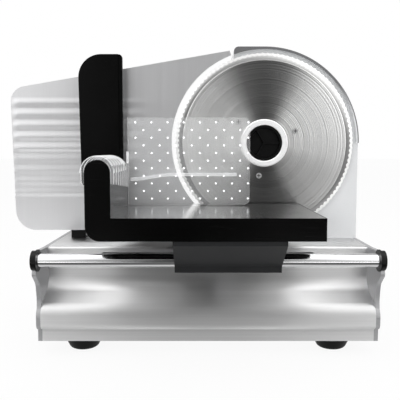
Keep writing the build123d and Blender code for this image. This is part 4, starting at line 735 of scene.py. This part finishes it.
class SLICER_OT_shield(bpy.types.Operator):
    """Models the black hand shield, with its large round and the step down its right edge"""
    bl_idname = "slicer.shield"
    bl_label = "Hand shield"

    def execute(self, context):
        s = context.scene.slicer_sizes
        low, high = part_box("hand_shield")
        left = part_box("carriage_frame")[0].x
        wing = low.z + s.wing
        right = high.x - s.flange
        near = 2 * MM
        piece = block("shield_moulding", (low.x, low.y, wing), (right, high.y, high.z))
        choose(piece, "VERT", lambda at, way: at.x < low.x + near and at.z < wing + near)
        bpy.ops.transform.translate(value=(s.shield_taper, 0, 0))
        round_edges(piece, s.shield_corner, 16,
                    lambda at, way: abs(way.y) > 0.9 and at.x < low.x + near and at.z > high.z - near)
        round_edges(piece, s.shield_small, 8,
                    lambda at, way: abs(way.y) > 0.9 and at.x < low.x + 2 * near and at.z < wing + near)
        join(piece, block("root", (left, low.y, low.z), (right, high.y, wing + s.shield_small)))
        flange = block("flange", (right - near, low.y + s.flange_step, low.z), high)
        round_edges(flange, s.flange * 0.9, 8,
                    lambda at, way: abs(way.y) > 0.9 and at.x > high.x - near and at.z > high.z - near)
        join(piece, flange)
        choose(piece, "FACE", lambda at, way: way.y > 0.9)
        bpy.ops.mesh.inset(thickness=s.skin)
        extrude(0, low.y - high.y + s.flange_step + s.skin, 0)
        soften(piece, s.edge)
        complete(piece, "carriage", "black_gloss", "hand_shield")
        return {"FINISHED"}


class SLICER_OT_guide(bpy.types.Operator):
    """Models the guide plate, with its soft ribs and the arc round the blade"""
    bl_idname = "slicer.guide"
    bl_label = "Guide plate"

    def execute(self, context):
        s = context.scene.slicer_sizes
        low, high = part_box("guide_plate")
        front = low.y + s.rib_height
        near = 3 * MM
        piece = block("guide_sheet", (low.x, front, low.z), high)
        choose(piece, "VERT", lambda at, way: at.x < low.x + near and at.z < low.z + near)
        bpy.ops.transform.translate(value=(GUIDE_LEAN, 0, 0))
        fall = Vector((high.x - GUIDE_CORNER_IN - low.x, 0, GUIDE_FALL))
        cut(piece, (high.x - GUIDE_CORNER_IN, front, high.z), (-fall.z, 0, fall.x), drop=True)
        out = Vector((hub.x - high.x + GUIDE_CORNER_IN, 0, hub.z - high.z))
        cut(piece, (high.x - GUIDE_CORNER_IN, front, high.z), (-out.z, 0, out.x), drop=True)
        round_edges(piece, GUIDE_LOW_ROUND, 14,
                    lambda at, way: abs(way.y) > 0.9 and at.x < low.x + 3 * near and at.z < low.z + near)
        round_edges(piece, GUIDE_HIGH_ROUND, 12,
                    lambda at, way: abs(way.y) > 0.9 and at.x < low.x + near and at.z > low.z + 30 * near)
        carve(piece, post("arc", (hub.x, front, hub.z), blade_r + GUIDE_GAP, 60 * MM, "y", 256))
        self.ribs(piece, s, low, front)
        soften(piece, GUIDE_EDGE, 2, 45)
        complete(piece, "guide", "satin_aluminium", "guide_plate")
        return {"FINISHED"}

    def ribs(self, piece, s, low, front):
        """Cuts the face into rows and columns, and draws the rows out to ridges that fade at their ends."""
        fades = ([(low.x + x, share) for x, share in RIB_FADES]
                 + [(GUIDE_RIB_END + x, share) for x, share in RIB_LAST_FADES])
        rows = [(step * s.rib_half / RIB_STEPS, math.cos(math.pi * step / RIB_STEPS / 2) ** 2)
                for step in range(-RIB_STEPS, RIB_STEPS + 1)]
        for x, _ in fades:
            cut(piece, (x, front, low.z), (1, 0, 0))
        for k in range(s.ribs):
            for offset, _ in rows:
                cut(piece, (low.x, front, GUIDE_RIB_TOP - k * s.rib_pitch + offset), (0, 0, 1))
        for x, there in fades:
            for offset, share in rows:
                height = s.rib_height * share * there
                if height < CLOSE:
                    continue
                choose(piece, "VERT", lambda at, way: at.y < front + CLOSE and abs(at.x - x) < CLOSE
                       and self.on_row(at.z - offset, s))
                bpy.ops.transform.translate(value=(0, -height, 0))

    def on_row(self, height, s):
        place = (GUIDE_RIB_TOP - height) / s.rib_pitch
        return abs(place - round(place)) * s.rib_pitch < CLOSE and -0.5 < place < s.ribs - 0.5


class SLICER_OT_blade(bpy.types.Operator):
    """Models the blade, with its ground bevel and scalloped edge"""
    bl_idname = "slicer.blade"
    bl_label = "Blade"

    def execute(self, context):
        s = context.scene.slicer_sizes
        low, high = blade_low, blade_high
        count = s.teeth * TOOTH_STEPS
        middle_y = (low.y + high.y) / 2
        thick = high.y - low.y
        piece = post("blade_steel_disc", (hub.x, middle_y, hub.z), blade_r, thick, "y", count)
        to_hole = blade_r - BLADE_HOLE_R
        front_rings = (s.blade_teeth_band, s.blade_bevel - s.blade_teeth_band, to_hole - s.blade_bevel)
        for face, widths in ((-1, front_rings), (1, (to_hole,))):
            choose(piece, "FACE", lambda at, way: way.y * face > 0.9 and self.radius(at) < MM)
            for width in widths:
                bpy.ops.mesh.inset(thickness=width)
        choose(piece, "FACE", lambda at, way: abs(way.y) > 0.9 and self.radius(at) < MM)
        bpy.ops.mesh.delete(type="ONLY_FACE")
        choose(piece, "VERT", lambda at, way: self.radius(at) < BLADE_HOLE_R + MM)
        bpy.ops.mesh.select_mode(type="EDGE")
        bpy.ops.mesh.bridge_edge_loops()
        slope = thick - s.blade_edge
        ring = blade_r - s.blade_teeth_band
        inner_share = 1 - s.blade_teeth_band / s.blade_bevel
        for radius, share in ((blade_r, 1), (ring, inner_share)):
            choose(piece, "VERT", lambda at, way: at.y < middle_y and abs(self.radius(at) - radius) < MM)
            bpy.ops.transform.translate(value=(0, slope * share, 0))
        for step in range(1, TOOTH_STEPS):
            size = 1 - s.tooth_depth * math.sin(math.pi * step / TOOTH_STEPS) / blade_r
            choose(piece, "VERT", lambda at, way: self.radius(at) > blade_r - 0.2 * MM
                   and self.step(at, count) % TOOTH_STEPS == step)
            bpy.ops.transform.resize(value=(size, 1, size), center_override=(hub.x, middle_y, hub.z))
        complete(piece, "blade", "blade_steel", "blade_disc")
        return {"FINISHED"}

    def radius(self, at):
        return math.hypot(at.x - hub.x, at.z - hub.z)

    def step(self, at, count):
        return round(math.atan2(at.z - hub.z, at.x - hub.x) / math.tau * count) % count


class SLICER_OT_pusher(bpy.types.Operator):
    """Models the clear pusher: its studded plate, the saddle over the wall, the web and the rib"""
    bl_idname = "slicer.pusher"
    bl_label = "Pusher"

    def execute(self, context):
        s = context.scene.slicer_sizes
        low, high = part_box("food_pusher")
        wall_low, wall_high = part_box("carriage_frame")
        wall_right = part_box("tray_plate")[0].x
        wall_mid = (wall_low.x + wall_right) / 2
        back = high.y - s.stud_length
        front = back - s.pusher_sheet
        outer = wall_mid - low.x
        inner = outer - s.pusher_sheet
        axis = wall_high.z - (wall_right - wall_low.x) / 2
        web_top = wall_high.z + WEB_RISE
        piece = block("pusher_moulding", (wall_mid + inner, front, low.z), (high.x, back, high.z))
        round_edges(piece, s.pusher_corner, 8, lambda at, way: abs(way.y) > 0.9 and at.x > high.x - MM)
        join(piece, self.saddle(s, low, wall_mid, axis, outer, inner))
        join(piece, self.web(s, low, wall_mid, axis, outer, inner, front, back, web_top))
        join(piece, self.rib(wall_mid + outer, high.x, front, low.z + PUSHER_RIB_H))
        soften(piece, PUSHER_EDGE, 2, 50)
        join(piece, self.studs(s, low, high, back))
        complete(piece, "pusher", "clear_plastic", "food_pusher")
        return {"FINISHED"}

    def saddle(self, s, low, wall_mid, axis, outer, inner):
        """A half tube over the wall, with raised bands and a short leg on its left."""
        centre = (wall_mid, low.y + SADDLE_LENGTH / 2, axis)
        tube = post("saddle", centre, outer, SADDLE_LENGTH, "y", 72)
        carve(tube, post("bore", centre, inner, SADDLE_LENGTH + 10 * MM, "y", 72))
        cut(tube, centre, (0, 0, -1), drop=True)
        choose(tube, "FACE", lambda at, way: way.z < -0.9 and at.x < wall_mid and at.z < axis + MM)
        extrude(0, 0, -s.saddle_leg)
        for k in range(SADDLE_BAND_COUNT):
            start = low.y + SADDLE_BAND_START + k * SADDLE_BAND_PITCH
            end = start + SADDLE_BAND_WIDTH
            for y in (start, end):
                cut(tube, (wall_mid, y, axis), (0, 1, 0))
            choose(tube, "FACE", lambda at, way: start < at.y < end and abs(way.y) < 0.1 and at.z > axis
                   and math.hypot(at.x - wall_mid, at.z - axis) > (outer + inner) / 2)
            swell(s.saddle_band)
        alone()
        return tube

    def web(self, s, low, wall_mid, axis, outer, inner, front, back, top):
        """The upright sheet that ties the saddle to the plate, cut to its slopes."""
        web = block("web", (wall_mid + inner, low.y, low.z), (wall_mid + outer, back, top))
        carve(web, block("above", (wall_mid, low.y - MM, axis + WEB_STEP),
                         (wall_mid + 2 * outer, front - WEB_HIGH, top + MM)))
        run = front - WEB_FALL_END - low.y
        cut(web, (wall_mid, low.y, axis - s.saddle_leg), (0, -WEB_FALL, -run), drop=True)
        alone()
        return web

    def rib(self, left, right, front, top):
        """A bar across the plate, bent down at its left end."""
        bar = block("rib", (left - MM, front - PUSHER_RIB_DEEP, top - PUSHER_RIB_THICK),
                    (right - PUSHER_RIB_SHORT, front + SINK, top))
        for k in range(1, 16):
            cut(bar, (left + (right - left) * k / 18, front, top), (1, 0, 0))
        choose(bar, "VERT", lambda at, way: at.x < left)
        bpy.ops.transform.translate(value=(0, 0, -PUSHER_RIB_DROP), use_proportional_edit=True,
                                    proportional_edit_falloff="SMOOTH",
                                    proportional_size=PUSHER_RIB_BEND)
        alone()
        return bar

    def studs(self, s, low, high, back):
        """One stud, drawn to a round tip and copied in staggered rows."""
        x, z = STUD_FIRST_X, low.z + STUD_FIRST_UP
        at = (x, back + (s.stud_length - STUD_SINK) / 2, z)
        stud = post("studs", at, s.stud_radius, s.stud_length + STUD_SINK, "y", 10)
        choose(stud, "FACE", lambda at, way: way.y > 0.9)
        bpy.ops.transform.resize(value=(STUD_TIP, 1, STUD_TIP), center_override=(x, back, z))
        bpy.ops.mesh.bevel(offset=STUD_ROUND, segments=2, affect="EDGES")
        alone(stud)
        rows = int((high.z - z - STUD_TOP_FREE) / s.stud_up) + 1
        across = int((high.x - x - MM) / s.stud_across) + 1
        copies = []
        for row in range(rows):
            for column in range(across - row % 2):
                if row == column == 0:
                    continue
                alone(stud)
                bpy.ops.object.duplicate()
                copy = bpy.context.object
                move = ((column + (row % 2) / 2) * s.stud_across, 0, row * s.stud_up)
                bpy.ops.transform.translate(value=move)
                bpy.ops.object.transform_apply(location=True)
                copies.append(copy)
        alone(stud)
        for copy in copies:
            copy.select_set(True)
        bpy.ops.object.join()
        alone()
        return stud


class SLICER_OT_feet(bpy.types.Operator):
    """Models one rubber foot and copies it to the four corners"""
    bl_idname = "slicer.feet"
    bl_label = "Feet"

    def execute(self, context):
        names = ("front_left_foot", "rear_left_foot", "front_right_foot", "rear_right_foot")
        low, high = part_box(names[0])
        at = (low + high) / 2
        radius = (high.x - low.x) / 2
        first = post("rubber_front_left_foot", at, radius, high.z - low.z, "z", 64)
        choose(first, "FACE", lambda place, way: way.z < -0.9)
        bpy.ops.transform.resize(value=(FOOT_TAPER, FOOT_TAPER, 1), center_override=at)
        for ring in FOOT_RINGS:
            bpy.ops.mesh.inset(thickness=radius * ring)
        extrude(0, 0, (high.z - low.z) * FOOT_HOLLOW)
        round_edges(first, 1.2 * MM, 4, lambda place, way: abs(way.z) < 0.1 and place.z > high.z - MM)
        round_edges(first, 3.0 * MM, 6, lambda place, way: abs(way.z) < 0.1 and place.z < low.z + 0.2 * MM
                    and math.hypot(place.x - at.x, place.y - at.y) > radius * 0.6)
        feet = [first]
        for name in names[1:]:
            alone(first)
            bpy.ops.object.duplicate()
            copy = bpy.context.object
            copy.name = "rubber_" + name
            bpy.ops.transform.translate(value=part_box(name)[0] - low)
            bpy.ops.object.transform_apply(location=True)
            feet.append(copy)
        for foot, name in zip(feet, names):
            complete(foot, "base", "rubber", name)
        return {"FINISHED"}


class SLICER_OT_stage(bpy.types.Operator):
    """Sets the floor, the lights and the camera"""
    bl_idname = "slicer.stage"
    bl_label = "Stage"

    def execute(self, context):
        s = context.scene.slicer_stage
        self.floor()
        self.world()
        self.lamps()
        self.camera(s)
        context.scene.view_settings.view_transform = "Standard"
        return {"FINISHED"}

    def floor(self):
        bpy.ops.object.select_all(action="DESELECT")
        bpy.ops.mesh.primitive_plane_add(size=FLOOR_SIZE, location=(0, 0, -FLOOR_DROP))
        floor = bpy.context.object
        floor.name = "floor"
        s = Surface("floor_white")
        grain = s.noise(s.place(), 40, 3)
        s.wear(Base_Color=s.blend(grain, (0.83, 0.83, 0.83), (0.87, 0.87, 0.87)), Roughness=0.75)
        x, y, z = s.axes()
        path = s.node("ShaderNodeLightPath").outputs
        in_gloss = Value(s, path["Is Glossy Ray"]).math("MAXIMUM", Value(s, path["Is Transmission Ray"]))
        seen = Value(s, path["Is Camera Ray"])
        # What steel sees in the floor: a bright strip at the machine's feet, a dark one in front of it,
        # and two bright patches further out, one at each side.
        ahead = y * -1 + FLOOR_START
        beside = s.ramp(x.math("ABSOLUTE"), (0.06, 0.05), (0.12, 0.35), (0.19, 1.0))
        near = s.ramp(ahead, (0.18, 1.0), (0.22, 0.6), (0.31, 0.5), (0.34, 0.08), (0.47, 0.08), (0.54, 0.0))
        far = s.ramp(ahead, (0.47, 0.0), (0.56, 1.0), (0.78, 1.0), (0.97, 0.05)) * beside
        lit = near * 1.2 + far * 1.9
        strength = seen + in_gloss * lit
        glow = s.node("ShaderNodeEmission", (), {0: (1, 1, 1), 1: strength})
        mixed = s.node("ShaderNodeMixShader", (), {
            0: seen * 0.92 + in_gloss * 0.97, 1: s.shader.outputs[0], 2: glow.outputs[0]})
        s.plug(s.out.inputs["Surface"], mixed.outputs[0])
        s.material.cycles.emission_sampling = "NONE"
        floor.data.materials.append(s.material)

    def world(self):
        world = bpy.data.worlds.new("studio")
        bpy.context.scene.world = world
        world.use_nodes = True
        w = Finish(world.node_tree)
        ground = world.node_tree.nodes["Background"]
        path = w.node("ShaderNodeLightPath").outputs
        x, y, z = w.axes(w.node("ShaderNodeTexCoord").outputs["Generated"])
        # What steel sees round it: bright sides and a dark middle in front, light behind, and a dark card
        # straight to the left and right, which draws a line along rounded edges.
        away = x.math("ABSOLUTE") + (z - 0.1).math("MAXIMUM", 0.0) * 0.25
        side = w.ramp(away, (0.10, 0.02), (0.24, 0.35), (0.40, 1.0)) * 1.5
        front = w.ramp(y * -1 + 0.5, (0.45, 0.0), (0.62, 1.0))
        behind = w.ramp(z, (0.15, 1.0), (0.6, 0.45))
        card = w.ramp(x.math("ABSOLUTE"), (0.80, 1.0), (0.90, 0.12))
        studio = (side * front + behind * (1 - front)) * card
        seen = Value(w, path["Is Camera Ray"])
        level = seen + (1 - seen) * studio
        w.plug(ground.inputs["Color"], (1, 1, 1))
        w.plug(ground.inputs["Strength"], level)

    def lamps(self):
        for name, place, aim, size, power in (
            ("top_softbox", (0.0, -0.1, 1.5), (0, 0, 0), (1.6, 1.2), 9),
            ("left_softbox", (-1.3, -0.9, 0.8), (0, 0, 0.15), (0.9, 1.3), 2),
            ("right_softbox", (1.3, -0.9, 0.8), (0, 0, 0.15), (0.9, 1.3), 2),
        ):
            lamp = bpy.data.lights.new(name, "AREA")
            lamp.shape = "RECTANGLE"
            lamp.size, lamp.size_y = size
            lamp.energy = power
            holder = bpy.data.objects.new(name, lamp)
            bpy.context.scene.collection.objects.link(holder)
            holder.location = place
            holder.rotation_euler = (Vector(aim) - Vector(place)).to_track_quat("-Z", "Y").to_euler()

    def camera(self, s):
        eye = bpy.data.cameras.new("camera")
        eye.lens = s.lens
        holder = bpy.data.objects.new("camera", eye)
        bpy.context.scene.collection.objects.link(holder)
        holder.location = (middle("base_shell").x - s.aside, blade_low.y - s.away, s.height)
        holder.rotation_euler = (math.pi / 2 - s.down, 0, 0)
        bpy.context.scene.camera = holder


class SLICER_PT_pieces(bpy.types.Panel):
    """Lists the slicer's sizes, colours and pieces"""
    bl_idname = "SLICER_PT_pieces"
    bl_label = "Deli Meat Slicer"
    bl_space_type = "VIEW_3D"
    bl_region_type = "UI"
    bl_category = "Slicer"

    def draw(self, context):
        for group in (context.scene.slicer_sizes, context.scene.slicer_colours, context.scene.slicer_stage):
            column = self.layout.column(align=True)
            for name in group.__annotations__:
                column.prop(group, name)
        for each in operators:
            self.layout.operator(each.bl_idname)


operators = (SLICER_OT_finishes, SLICER_OT_inner_pieces, SLICER_OT_body, SLICER_OT_carriage, SLICER_OT_shield,
             SLICER_OT_guide, SLICER_OT_blade, SLICER_OT_pusher, SLICER_OT_feet, SLICER_OT_stage)
classes = (SlicerSizes, SlicerColours, SlicerStage, *operators, SLICER_PT_pieces)


def register():
    for each in classes:
        bpy.utils.register_class(each)
    bpy.types.Scene.slicer_sizes = PointerProperty(type=SlicerSizes)
    bpy.types.Scene.slicer_colours = PointerProperty(type=SlicerColours)
    bpy.types.Scene.slicer_stage = PointerProperty(type=SlicerStage)


def unregister():
    del bpy.types.Scene.slicer_stage
    del bpy.types.Scene.slicer_colours
    del bpy.types.Scene.slicer_sizes
    for each in reversed(classes):
        bpy.utils.unregister_class(each)


def main():
    register()
    bpy.ops.slicer.finishes()
    bpy.ops.slicer.inner_pieces()
    bpy.ops.slicer.body()
    bpy.ops.slicer.carriage()
    bpy.ops.slicer.shield()
    bpy.ops.slicer.guide()
    bpy.ops.slicer.blade()
    bpy.ops.slicer.pusher()
    bpy.ops.slicer.feet()
    bpy.ops.slicer.stage()


if __name__ == "__main__":
    main()
